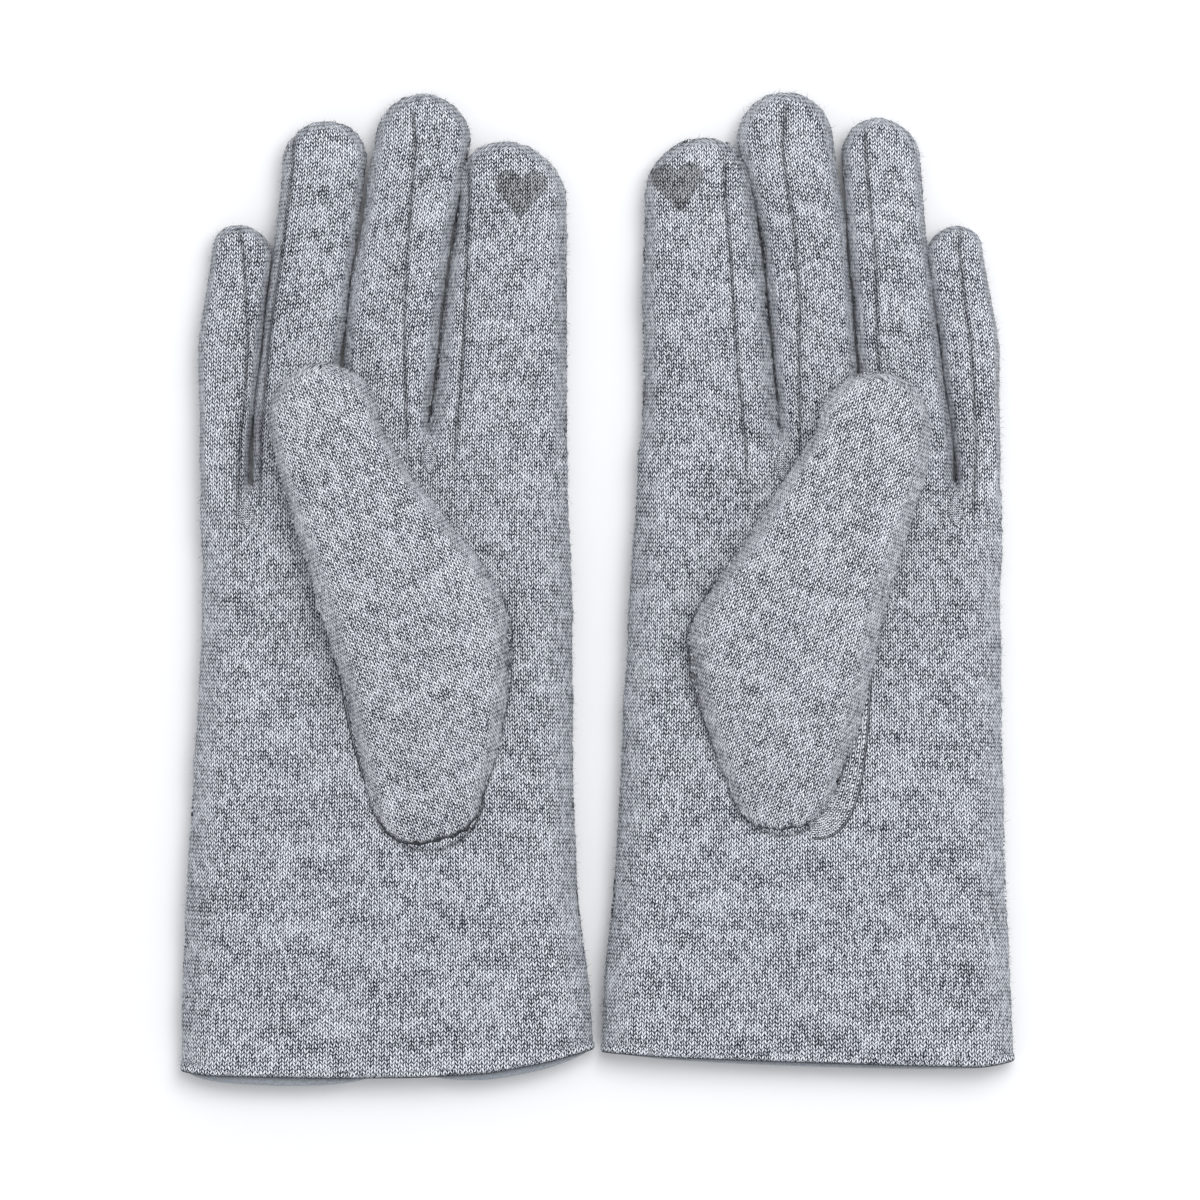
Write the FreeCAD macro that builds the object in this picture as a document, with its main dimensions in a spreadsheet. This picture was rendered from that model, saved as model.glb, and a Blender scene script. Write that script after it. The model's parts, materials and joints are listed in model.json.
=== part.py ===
# A pair of knit touchscreen gloves lying palm up, side by side, with each thumb folded over its palm.
# Frame: millimetres, +Z up, +Y towards the fingertips, origin under the middle of the pair.
import FreeCAD, Part
import math
import os

from FreeCAD import Vector
import Sketcher

doc = FreeCAD.newDocument("touchscreen_gloves")
sheet = doc.addObject("Spreadsheet::Sheet", "sizes")

# ---------------------------------------------------------------- driving dimensions
SHARED_SIZES = {
    "glove_thickness": 13.0,     # palm to back, lined and slightly puffed
    "thumb_thickness": 12.3,     # the thumb lies on the palm with this much on top
    "edge_round": 4.8,           # radius that turns the palm side into the back
    "knit_wall": 1.5,            # outer knit
    "lining_gap": 0.1,           # air between the knit and the lining
    "lining_wall": 1.2,          # brushed lining
    "joint_gap": 0.3,            # clearance at each bend line
    "open_end": 0.2,             # how far a hollow runs past the end that it opens
    "cut_past": 1.0,             # how far a cutting block runs past what it cuts
    "cuff_y": -117.9,            # cuff edge
    "hem_depth": 2.4,
    "stitch_width": 0.5,
    "wrist_y": -75.0,
    "palm_y": -10.0,
    "root_y": 22.0,              # where the finger tubes start
    "cuff_width": 98.0,
    "wrist_width": 93.0,
    "palm_width": 87.0,
    "root_width": 86.6,
    "strip_height": 7.0,         # fourchette height between the two seams
    "strip_depth": 6.0,          # box that cuts a fourchette out of a finger's side
    "strip_inside": 3.2,         # how far that box reaches in from the finger's side
    "root_strip_start": 6.0,     # the root fourchettes start this far above the root line
    "quirk_half_width": 1.7,
    "quirk_half_length": 4.0,
    "quirk_rise": 4.6,           # centre of a quirk above the root line
    "hole_margin": 6.0,          # the thumb hole lies this far inside the thumb's seam
    "gusset_width": 5.0,
    "gusset_height": 6.0,
    "gusset_reach": 0.8,         # its share of the side, from the seam's foot to the bend line
    "heart_width": 13.3,
    "heart_height": 12.5,
    "heart_lobe": 3.6,           # radius of each lobe
    "heart_thickness": 0.3,
    "index_width": 30.2, "index_tip": 12.2, "index_length": 49.6, "index_y": 56.4,
    "middle_width": 20.0, "middle_tip": 10.6, "middle_length": 61.9, "middle_y": 56.4,
    "ring_width": 17.2, "ring_tip": 9.3, "ring_length": 54.4, "ring_y": 56.4,
    "little_width": 12.4, "little_tip": 6.4, "little_length": 46.2, "little_y": 39.7,
    "thumb_width": 42.0, "thumb_tip": 13.0, "thumb_length": 71.0, "thumb_seam_round": 12.0,
}
# Places differ a little from glove to glove, as the fingers splay. A lean is clockwise, seen from above.
# An edge is the X of a boundary between fingers on the root line, counted from the index side.
GLOVE_SIZES = {
    "right": {
        "middle_of_glove": -49.75, "wrist_x": -51.4, "palm_x": -49.8, "root_x": -50.9,
        "index_x": -22.6, "index_lean": 3.8,
        "middle_x": -49.8, "middle_lean": 9.5,
        "ring_x": -70.2, "ring_lean": 6.2,
        "little_x": -88.1, "little_lean": 5.4,
        "edge_one": -7.9, "edge_two": -40.5, "edge_three": -63.2, "edge_four": -82.9, "edge_five": -94.0,
        "thumb_x": -40.5, "thumb_y": -13.0, "thumb_lean": -25.0,
        "seam_x": -39.6, "seam_y": -49.2,
        "heart_x": -18.7, "heart_y": 96.7,
    },
    "left": {
        "middle_of_glove": 49.75, "wrist_x": 50.1, "palm_x": 51.1, "root_x": 52.3,
        "index_x": 25.4, "index_lean": -3.0,
        "middle_x": 51.5, "middle_lean": -7.3,
        "ring_x": 71.2, "ring_lean": -5.2,
        "little_x": 89.4, "little_lean": -6.2,
        "edge_one": 9.4, "edge_two": 43.6, "edge_three": 64.2, "edge_four": 84.4, "edge_five": 95.2,
        "thumb_x": 42.4, "thumb_y": -12.0, "thumb_lean": 20.0,
        "seam_x": 45.2, "seam_y": -47.4,
        "heart_x": 19.9, "heart_y": 98.2,
    },
}
FINGERS = ("index", "middle", "ring", "little")
EDGES = ("edge_one", "edge_two", "edge_three", "edge_four", "edge_five")


def fill_sheet():
    cells = dict(SHARED_SIZES)
    for glove, places in GLOVE_SIZES.items():
        cells.update({f"{glove}_{name}": value for name, value in places.items()})
    for row, (alias, value) in enumerate(cells.items(), start=1):
        sheet.set(f"A{row}", alias.replace("_", " "))
        sheet.set(f"B{row}", str(value))
        sheet.setAlias(f"B{row}", alias)
    doc.recompute()


def cell(alias):
    return f"sizes.{alias}"


def number(expression):
    """The value that an expression over the sheet has now."""
    return float(sheet.evalExpression(str(expression)))


# ---------------------------------------------------------------- sketches
def origin_plane(body, role):
    return next(feature for feature in body.Origin.OriginFeatures if feature.Role == role)


def new_sketch(body, name, role="XY_Plane", offset="0"):
    """A sketch on one of the body's own planes, moved along that plane's normal."""
    sketch = body.newObject("Sketcher::SketchObject", name)
    sketch.AttachmentSupport = [(origin_plane(body, role), "")]
    sketch.MapMode = "FlatFace"
    sketch.setExpression("AttachmentOffset.Base.z", str(offset))
    return sketch


def pin_point(sketch, label, geometry, point, x, y):
    """Fix a sketch point at (x, y), each an expression over the sheet."""
    for kind, axis, value in (("DistanceX", "x", x), ("DistanceY", "y", y)):
        index = sketch.addConstraint(Sketcher.Constraint(kind, -1, 1, geometry, point, number(value)))
        sketch.renameConstraint(index, f"{label}_{axis}")
        sketch.setExpression(f"Constraints.{label}_{axis}", str(value))


def draw_polygon(sketch, corners):
    points = [Vector(number(x), number(y), 0) for x, y in corners]
    for start, end in zip(points, points[1:] + points[:1]):
        sketch.addGeometry(Part.LineSegment(start, end), False)
    count = len(points)
    for side in range(count):
        sketch.addConstraint(Sketcher.Constraint("Coincident", side, 2, (side + 1) % count, 1))
    for side, (x, y) in enumerate(corners):
        pin_point(sketch, f"corner{side}", side, 1, x, y)


def tangent_point(centre, radius, point, side):
    """Where the line from the point touches the circle; side is +1 right of the way to the circle, or -1."""
    away = point - centre
    turn = math.acos(radius / away.Length)
    angle = math.atan2(away.y, away.x) + side * turn
    return centre + Vector(radius * math.cos(angle), radius * math.sin(angle), 0), angle


def draw_cap(sketch, left, right, centre, radius):
    """A straight root edge from left to right, and two sides that run on into a round end."""
    start = Vector(number(left[0]), number(left[1]), 0)
    end = Vector(number(right[0]), number(right[1]), 0)
    middle = Vector(number(centre[0]), number(centre[1]), 0)
    size = number(radius)
    touch_right, angle_right = tangent_point(middle, size, end, 1)
    touch_left, angle_left = tangent_point(middle, size, start, -1)
    sketch.addGeometry(Part.LineSegment(start, end), False)
    sketch.addGeometry(Part.LineSegment(end, touch_right), False)
    circle = Part.Circle(middle, Vector(0, 0, 1), size)
    if angle_left < angle_right:
        angle_left += 2 * math.pi
    sketch.addGeometry(Part.ArcOfCircle(circle, angle_right, angle_left), False)
    sketch.addGeometry(Part.LineSegment(touch_left, start), False)
    sketch.addConstraint(Sketcher.Constraint("Coincident", 0, 2, 1, 1))
    sketch.addConstraint(Sketcher.Constraint("Tangent", 1, 2, 2, 1))
    sketch.addConstraint(Sketcher.Constraint("Tangent", 2, 2, 3, 1))
    sketch.addConstraint(Sketcher.Constraint("Coincident", 3, 2, 0, 1))
    pin_point(sketch, "left", 0, 1, *left)
    pin_point(sketch, "right", 0, 2, *right)
    pin_point(sketch, "centre", 2, 3, *centre)
    index = sketch.addConstraint(Sketcher.Constraint("Radius", 2, size))
    sketch.renameConstraint(index, "round_end")
    sketch.setExpression("Constraints.round_end", str(radius))


# ---------------------------------------------------------------- solids
TOUCH = 1e-4   # two things closer than this, in millimetres, touch


def pad(body, sketch, name, length, reverse=False):
    feature = body.newObject("PartDesign::Pad", name)
    feature.Profile = sketch
    feature.Reversed = reverse
    feature.setExpression("Length", str(length))
    sketch.Visibility = False
    doc.recompute()
    return feature


def round_flat_edges(body, base, name, radius, open_edges):
    """Round the upper and lower outline of a pad, except along its open ends."""
    box = base.Shape.BoundBox
    picked = []
    for index, edge in enumerate(base.Shape.Edges, start=1):
        rim = edge.BoundBox
        flat = rim.ZLength < TOUCH and min(abs(rim.ZMin - box.ZMin), abs(rim.ZMax - box.ZMax)) < TOUCH
        middle = edge.valueAt((edge.FirstParameter + edge.LastParameter) / 2)
        is_open = any(line.distToShape(Part.Vertex(middle.x, middle.y, 0))[0] < TOUCH for line in open_edges)
        if flat and not is_open:
            picked.append(f"Edge{index}")
    feature = body.newObject("PartDesign::Fillet", name)
    feature.Base = (base, picked)
    feature.setExpression("Radius", str(radius))
    doc.recompute()


def flat_edge(start, end):
    return Part.LineSegment(Vector(number(start[0]), number(start[1]), 0),
                            Vector(number(end[0]), number(end[1]), 0)).toShape()


def padded_cap(name, left, right, centre, radius, floor, thickness, inset):
    """A puffed finger form, closed at its round end."""
    body = doc.addObject("PartDesign::Body", name)
    sketch = new_sketch(body, f"{name}_outline", offset=f"{floor} + ({inset})")
    draw_cap(sketch, left, right, centre, f"{radius} - ({inset})")
    block = pad(body, sketch, f"{name}_pad", f"{thickness} - 2 * ({inset})")
    edge = cell("edge_round")
    round_flat_edges(body, block, f"{name}_round", f"{edge} - ({inset})", [flat_edge(left, right)])
    return body


def padded_sleeve(name, corners, inset):
    """A puffed tube: its corners run along the lower open end, up one side, and back down the other."""
    body = doc.addObject("PartDesign::Body", name)
    sketch = new_sketch(body, f"{name}_outline", offset=inset)
    draw_polygon(sketch, corners)
    block = pad(body, sketch, f"{name}_pad", f"{cell('glove_thickness')} - 2 * ({inset})")
    top = len(corners) // 2
    ends = [flat_edge(corners[0], corners[1]), flat_edge(corners[top], corners[top + 1])]
    round_flat_edges(body, block, f"{name}_round", f"{cell('edge_round')} - ({inset})", ends)
    return body


def boolean(kind, name, base, tool):
    result = doc.addObject(f"Part::{kind}", name)
    result.Base = base
    result.Tool = tool
    return result


def compound(name, members):
    result = doc.addObject("Part::Compound", name)
    result.Links = members
    return result


KNIT = "0"
KNIT_INNER = cell("knit_wall")
LINING = f"({cell('knit_wall')} + {cell('lining_gap')})"
LINING_INNER = f"({cell('knit_wall')} + {cell('lining_gap')} + {cell('lining_wall')})"
SUBPARTS = []


def subpart(item, name):
    item.Label = name
    SUBPARTS.append(item)
    return item


# ---------------------------------------------------------------- places on a finger
def along(glove, finger, forward, across):
    """A point forward along a finger from its bend line, and across it towards +X."""
    lean = cell(f"{glove}_{finger}_lean")
    x = cell(f"{glove}_{finger}_x")
    y = cell(f"{glove}_thumb_y") if finger == "thumb" else cell(f"{finger}_y")
    return (f"{x} + ({forward}) * sin({lean}) + ({across}) * cos({lean})",
            f"{y} + ({forward}) * cos({lean}) - ({across}) * sin({lean})")


def stall_core(glove, finger, name, inset, start):
    """The solid form of a finger from its bend line to its tip."""
    half = f"({cell(f'{finger}_width')} / 2 - ({inset}))"
    tip = cell(f"{finger}_tip")
    centre = along(glove, finger, f"{cell(f'{finger}_length')} - {tip}", "0")
    is_thumb = finger == "thumb"
    floor = f"{cell('glove_thickness')} + {cell('joint_gap')}" if is_thumb else "0"
    thickness = f"({cell('thumb_thickness')} - {cell('joint_gap')})" if is_thumb else cell("glove_thickness")
    return padded_cap(name, along(glove, finger, start, f"-{half}"), along(glove, finger, start, half),
                      centre, tip, floor, thickness, inset)


def root_core(glove, finger, name, inset, over):
    """The solid form of a finger between the root line and its bend line; over runs past both ends."""
    spot = FINGERS.index(finger)
    first, second = (cell(f"{glove}_{EDGES[spot + step]}") for step in (0, 1))
    if glove == "right":
        first, second = second, first
    side_gap = f"({cell('joint_gap')} / 2 + ({inset}))"
    half = f"({cell(f'{finger}_width')} / 2 - ({inset}))"
    top = f"-({cell('joint_gap')} / 2) + ({over})"
    low = f"{cell('root_y')} - ({over})"
    corners = [(f"{first} + {side_gap}", low), (f"{second} - {side_gap}", low),
               along(glove, finger, top, half), along(glove, finger, top, f"-{half}")]
    return padded_sleeve(name, corners, inset)


def strip_box(glove, finger, side, name, start, end):
    """The block whose overlap with a finger's knit is one fourchette; side is +1 towards +X, or -1."""
    box = doc.addObject("Part::Box", name)
    half = f"{cell(f'{finger}_width')} / 2"
    near = f"{half} - {cell('strip_inside')}"
    across = near if side > 0 else f"-({near}) - {cell('strip_depth')}"
    x, y = along(glove, finger, start, across)
    lean = cell(f"{glove}_{finger}_lean")
    z = f"({cell('glove_thickness')} - {cell('strip_height')}) / 2"
    box.setExpression("Length", cell("strip_depth"))
    box.setExpression("Width", f"({end}) - ({start})")
    box.setExpression("Height", cell("strip_height"))
    box.setExpression("Placement", f"placement(vector({x}; {y}; {z}); rotation(vector(0; 0; 1); -{lean}))")
    return box


def between_sides(glove, finger):
    """The sides of a finger that face another finger."""
    towards_little = -1 if glove == "right" else 1
    if finger == "index":
        return [towards_little]
    if finger == "little":
        return [-towards_little]
    return [-1, 1]


def shell(name, make_core, outer, inner):
    """One closed fabric layer: a form less the same form, inset and run past its open end."""
    return boolean("Cut", name, make_core(f"{name}_outer", outer, False),
                   make_core(f"{name}_inner", inner, True))


# ---------------------------------------------------------------- fingers
def make_stall(glove, finger):
    title = f"{glove}_{finger}"
    start = f"{cell('joint_gap')} / 2"

    def core(name, inset, past_end):
        low = f"{start} - {cell('open_end')}" if past_end else start
        return stall_core(glove, finger, name, inset, low)

    knit = shell(f"{title}_knit", core, KNIT, KNIT_INNER)
    end = f"{cell(f'{finger}_length')} - {cell(f'{finger}_tip')}"
    boxes = [strip_box(glove, finger, side, f"{title}_strip{spot}", f"{start} - {cell('cut_past')}", end)
             for spot, side in enumerate(between_sides(glove, finger))]
    pieces = [boolean("Common", f"{title}_side{spot}", knit, box) for spot, box in enumerate(boxes)]
    subpart(boolean("Cut", f"{title}_cut", knit, compound(f"{title}_strips", boxes)), f"{title}_stall")
    subpart(compound(f"{title}_sides", pieces), f"{title}_fourchettes")
    subpart(shell(f"{title}_inner", core, LINING, LINING_INNER), f"{title}_lining")


def make_quirks(glove):
    """Three small diamonds, one in each crotch between two fingers."""
    diamonds = []
    for spot, edge in enumerate(EDGES[1:-1]):
        body = doc.addObject("PartDesign::Body", f"{glove}_quirk{spot}")
        x, y = cell(f"{glove}_{edge}"), f"{cell('root_y')} + {cell('quirk_rise')}"
        half_width, half_length = cell("quirk_half_width"), cell("quirk_half_length")
        height = cell("strip_height")
        floor = f"({cell('glove_thickness')} - {height}) / 2"
        sketch = new_sketch(body, f"{glove}_diamond{spot}", offset=floor)
        draw_polygon(sketch, [(x, f"{y} - {half_length}"), (f"{x} + {half_width}", y),
                              (x, f"{y} + {half_length}"), (f"{x} - {half_width}", y)])
        pad(body, sketch, f"{glove}_diamond_pad{spot}", height)
        diamonds.append(body)
    return subpart(compound(f"{glove}_diamonds", diamonds), f"{glove}_quirks")


def make_roots(glove):
    quirks = make_quirks(glove)
    sides, linings = [], []
    for finger in FINGERS:
        title = f"{glove}_{finger}_root"

        def core(name, inset, past_end, finger=finger):
            return root_core(glove, finger, name, inset, cell("open_end") if past_end else "0")

        knit = shell(f"{title}_knit", core, KNIT, KNIT_INNER)
        start = f"{cell('root_y')} + {cell('root_strip_start')} - {cell(f'{finger}_y')}"
        boxes = [strip_box(glove, finger, side, f"{title}_strip{spot}", start, cell("cut_past"))
                 for spot, side in enumerate(between_sides(glove, finger))]
        for spot, box in enumerate(boxes):
            side = boolean("Common", f"{title}_side{spot}", knit, box)
            sides.append(boolean("Cut", f"{title}_side_trim{spot}", side, quirks))
        open_sides = boolean("Cut", f"{title}_cut", knit, compound(f"{title}_strips", boxes))
        subpart(boolean("Cut", f"{title}_trim", open_sides, quirks), title)
        lining = shell(f"{title}_inner", core, LINING, LINING_INNER)
        linings.append(boolean("Cut", f"{title}_inner_trim", lining, quirks))
    subpart(compound(f"{glove}_root_sides", sides), f"{glove}_root_fourchettes")
    subpart(compound(f"{glove}_root_inners", linings), f"{glove}_root_linings")


# ---------------------------------------------------------------- hand, cuff and thumb
def flat_tube(glove, name, stations, inset):
    """A puffed tube across the whole glove. A station is its y and the cells of its middle and its width."""
    def side(direction):
        return [(f"{cell(f'{glove}_{middle_x}')} + {direction} * ({cell(width)} / 2 - ({inset}))", y)
                for y, middle_x, width in stations]

    left, right = side(-1), side(1)
    return padded_sleeve(name, [left[0], *right, *reversed(left[1:])], inset)


def hand_core(glove, name, inset, over):
    """The form of the hand, from the hem stitching up to the root line; over runs past both ends."""
    low = f"{cell('cuff_y')} + {cell('hem_depth')} + {cell('stitch_width')}"
    stations = [(f"{low} - ({over})", "middle_of_glove", "cuff_width"),
                (cell("wrist_y"), "wrist_x", "wrist_width"),
                (cell("palm_y"), "palm_x", "palm_width"),
                (f"{cell('root_y')} + ({over})", "root_x", "root_width")]
    return flat_tube(glove, name, stations, inset)


def cuff_ring(glove, name, start, length):
    """A short ring of knit, as wide as the cuff edge."""
    def core(title, inset, past_ends):
        over = cell("open_end") if past_ends else "0"
        ends = (f"{start} - ({over})", f"{start} + {length} + ({over})")
        return flat_tube(glove, title, [(y, "middle_of_glove", "cuff_width") for y in ends], inset)

    return shell(f"{glove}_{name}_ring", core, KNIT, KNIT_INNER)


def thumb_base_form(glove, name, floor, thickness, inset, top, rounded):
    """The form of the thumb's base, from its bend line down to the round foot of its seam."""
    half = f"({cell('thumb_width')} / 2 - ({inset}))"
    left = along(glove, "thumb", top, half)
    right = along(glove, "thumb", top, f"-{half}")
    centre = (cell(f"{glove}_seam_x"), cell(f"{glove}_seam_y"))
    if rounded:
        return padded_cap(name, left, right, centre, cell("thumb_seam_round"), floor, thickness, inset)
    body = doc.addObject("PartDesign::Body", name)
    sketch = new_sketch(body, f"{name}_outline", offset=floor)
    draw_cap(sketch, left, right, centre, f"{cell('thumb_seam_round')} - ({inset})")
    pad(body, sketch, f"{name}_pad", thickness)
    return body


def make_hand(glove):
    over = cell("open_end")

    def core(name, inset, past_end):
        return hand_core(glove, name, inset, over if past_end else "0")

    def base_core(name, inset, past_end):
        top = f"-({cell('joint_gap')} / 2)" + (f" + {over}" if past_end else "")
        thickness = cell("thumb_thickness")
        return thumb_base_form(glove, name, cell("glove_thickness"), thickness, inset, top, True)

    margin = cell("hole_margin")
    past = cell("cut_past")
    floor = f"{cell('glove_thickness')} - {LINING_INNER} - {past}"
    depth = f"2 * ({LINING_INNER} + {past})"
    hole = thumb_base_form(glove, f"{glove}_thumb_hole", floor, depth, margin, f"-{margin}", False)
    for title, outer, inner in (("hand_shell", KNIT, KNIT_INNER), ("hand_lining", LINING, LINING_INNER)):
        tube = shell(f"{glove}_{title}_tube", core, outer, inner)
        subpart(boolean("Cut", f"{glove}_{title}_open", tube, hole), f"{glove}_{title}")
    stitch_y = f"{cell('cuff_y')} + {cell('hem_depth')}"
    subpart(cuff_ring(glove, "hem", cell("cuff_y"), cell("hem_depth")), f"{glove}_cuff_hem")
    subpart(cuff_ring(glove, "stitch", stitch_y, cell("stitch_width")), f"{glove}_hem_stitch")

    base_knit = shell(f"{glove}_thumb_base_tube", base_core, KNIT, KNIT_INNER)
    open_base = boolean("Cut", f"{glove}_thumb_base_open", base_knit, hole)
    gusset = gusset_box(glove)
    subpart(boolean("Cut", f"{glove}_thumb_base_trim", open_base, gusset), f"{glove}_thumb_base")
    subpart(boolean("Common", f"{glove}_thumb_side", open_base, gusset), f"{glove}_thumb_gusset")
    base_lining = shell(f"{glove}_thumb_base_inner", base_core, LINING, LINING_INNER)
    subpart(boolean("Cut", f"{glove}_thumb_base_clear", base_lining, hole), f"{glove}_thumb_base_lining")


def gusset_box(glove):
    """The block whose overlap with the thumb base is the narrow gusset on the little finger's side."""
    box = doc.addObject("Part::Box", f"{glove}_gusset_block")
    towards_little = -1 if glove == "right" else 1
    width, height = cell("gusset_width"), cell("gusset_height")
    foot_x, foot_y = cell(f"{glove}_seam_x"), cell(f"{glove}_seam_y")
    top_x, top_y = along(glove, "thumb", "0", f"{towards_little} * {cell('thumb_width')} / 2")
    side_x = f"({foot_x} + {towards_little} * {cell('thumb_seam_round')})"
    turn = f"atan2({top_x} - {side_x}; {top_y} - {foot_y})"
    inward = f"-{width} / 2"
    z = f"{cell('glove_thickness')} + ({cell('thumb_thickness')} - {height}) / 2"
    box.setExpression("Length", width)
    side_length = f"sqrt(pow({top_x} - {side_x}; 2) + pow({top_y} - {foot_y}; 2))"
    box.setExpression("Width", f"{cell('gusset_reach')} * {side_length}")
    box.setExpression("Height", height)
    x = f"{side_x} + {inward} * cos({turn})"
    y = f"{foot_y} - ({inward}) * sin({turn})"
    box.setExpression("Placement", f"placement(vector({x}; {y}; {z}); rotation(vector(0; 0; 1); -{turn}))")
    return box


# ---------------------------------------------------------------- touch patch and thumb
def lobe(glove, side, floor, height):
    """One round lobe of the heart."""
    cylinder = doc.addObject("Part::Cylinder", f"{glove}_heart_lobe{'_near' if side < 0 else '_far'}")
    reach = f"({cell('heart_width')} / 2 - {cell('heart_lobe')})"
    cylinder.setExpression("Radius", cell("heart_lobe"))
    cylinder.setExpression("Height", height)
    cylinder.setExpression("Placement.Base.x", f"{cell(f'{glove}_heart_x')} + {side} * {reach}")
    cylinder.setExpression("Placement.Base.y", cell(f"{glove}_heart_y"))
    cylinder.setExpression("Placement.Base.z", floor)
    return cylinder


def make_heart(glove):
    """The touch patch: the part of a thin skin over the index stall that lies under a heart."""
    title = f"{glove}_index_touch"
    start = f"{cell('joint_gap')} / 2"
    outer = stall_core(glove, "index", f"{title}_outer", f"-{cell('heart_thickness')}", start)
    inner = stall_core(glove, "index", f"{title}_inner", KNIT, f"{start} - {cell('open_end')}")
    floor = f"{cell('glove_thickness')} / 2"
    height = f"({floor} + {cell('cut_past')})"
    x, y, round_size = cell(f"{glove}_heart_x"), cell(f"{glove}_heart_y"), cell("heart_lobe")
    reach = f"({cell('heart_width')} / 2 - {round_size})"
    drop = f"({cell('heart_height')} - {round_size})"
    # The straight sides leave the lobes where they are tangent to them.
    turn = f"(atan2(-{drop}; -{reach}) + acos({round_size} / sqrt(pow({reach}; 2) + pow({drop}; 2))))"
    touch_x, touch_y = f"({reach} + {round_size} * cos{turn})", f"{y} + {round_size} * sin{turn}"
    body = doc.addObject("PartDesign::Body", f"{title}_column")
    sketch = new_sketch(body, f"{title}_outline", offset=floor)
    draw_polygon(sketch, [(x, f"{y} - {drop}"), (f"{x} + {touch_x}", touch_y), (f"{x} + {reach}", y),
                          (f"{x} - {reach}", y), (f"{x} - {touch_x}", touch_y)])
    pad(body, sketch, f"{title}_pad", height)
    heart = doc.addObject("Part::MultiFuse", f"{title}_heart")
    heart.Shapes = [body, lobe(glove, -1, floor, height), lobe(glove, 1, floor, height)]
    skin = boolean("Cut", f"{title}_skin", outer, inner)
    subpart(boolean("Common", f"{title}_patch", skin, heart), f"{glove}_touch_heart")


def make_thumb(glove):
    start = f"{cell('joint_gap')} / 2"

    def core(name, inset, past_end):
        low = f"{start} - {cell('open_end')}" if past_end else start
        return stall_core(glove, "thumb", name, inset, low)

    subpart(shell(f"{glove}_thumb_knit", core, KNIT, KNIT_INNER), f"{glove}_thumb_stall")
    subpart(shell(f"{glove}_thumb_inner", core, LINING, LINING_INNER), f"{glove}_thumb_lining")


# ---------------------------------------------------------------- build, check and write
def build():
    fill_sheet()
    for glove in GLOVE_SIZES:
        make_hand(glove)
        make_roots(glove)
        for finger in FINGERS:
            make_stall(glove, finger)
        make_heart(glove)
        make_thumb(glove)
    doc.recompute()


def check():
    for item in doc.Objects:
        if any(word in item.State for word in ("Invalid", "Error")):
            raise RuntimeError(f"{item.Name} failed: {item.State}")
    for item in SUBPARTS:
        if item.Shape.isNull() or not item.Shape.isValid() or not item.Shape.Solids:
            raise RuntimeError(f"{item.Label} has no valid solid")
        if any(solid.Volume <= 0 for solid in item.Shape.Solids):
            raise RuntimeError(f"{item.Label} holds an empty or inverted solid")


def write():
    os.makedirs("parts", exist_ok=True)
    whole = FreeCAD.BoundBox()
    for item in SUBPARTS:
        item.Shape.exportStep(f"parts/{item.Label}.step")
        whole.add(item.Shape.BoundBox)
        print(f"{item.Label}: {len(item.Shape.Solids)} solids, {item.Shape.Volume:.0f} mm3")
    print(f"{len(SUBPARTS)} nodes, box {whole}")


build()
check()
write()
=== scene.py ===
# %% [markdown]
# # A pair of knit touchscreen gloves
#
# Two light-grey heathered gloves lie palm up with each thumb folded over its palm. Real ones are cut from
# fine wool jersey and sewn: a hand, narrow fourchettes between the fingers, a small quirk in each crotch, a
# thumb with a gusset, a hemmed cuff over a brushed lining, and a darker conductive patch on each index
# finger. This lesson loads the solid model as a fixed frame, then grows every soft piece round it, one cell
# at a time.

# %% Load the frame
import json
import math

import bpy
import numpy as np
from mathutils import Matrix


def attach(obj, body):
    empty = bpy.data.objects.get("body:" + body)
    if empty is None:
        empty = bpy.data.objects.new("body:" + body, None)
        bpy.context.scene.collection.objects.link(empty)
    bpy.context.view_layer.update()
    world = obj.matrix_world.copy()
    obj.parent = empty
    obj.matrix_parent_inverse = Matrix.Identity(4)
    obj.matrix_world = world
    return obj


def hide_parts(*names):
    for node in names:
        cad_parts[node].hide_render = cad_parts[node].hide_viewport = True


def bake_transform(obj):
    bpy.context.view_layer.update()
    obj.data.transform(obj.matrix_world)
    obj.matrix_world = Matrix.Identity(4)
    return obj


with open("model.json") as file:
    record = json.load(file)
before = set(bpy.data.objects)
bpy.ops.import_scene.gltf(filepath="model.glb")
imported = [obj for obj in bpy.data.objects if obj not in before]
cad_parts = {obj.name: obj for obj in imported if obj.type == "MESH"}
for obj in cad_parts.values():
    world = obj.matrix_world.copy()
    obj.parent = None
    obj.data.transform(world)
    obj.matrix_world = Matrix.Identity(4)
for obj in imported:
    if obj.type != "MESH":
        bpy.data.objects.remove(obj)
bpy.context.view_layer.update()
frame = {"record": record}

MM = 0.001
HINGES = {joint["name"]: joint for joint in frame["record"]["behaviour"]["joints"]}

# %% [markdown]
# ## The pattern
#
# A glove maker works from a paper pattern: where each finger's middle runs and how wide it is at a few
# heights. The same few numbers are enough here. Each station is (height, middle, half width) in millimetres,
# and smooth curves run between them. The two gloves differ a little, as a pair that was laid by hand does.

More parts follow.
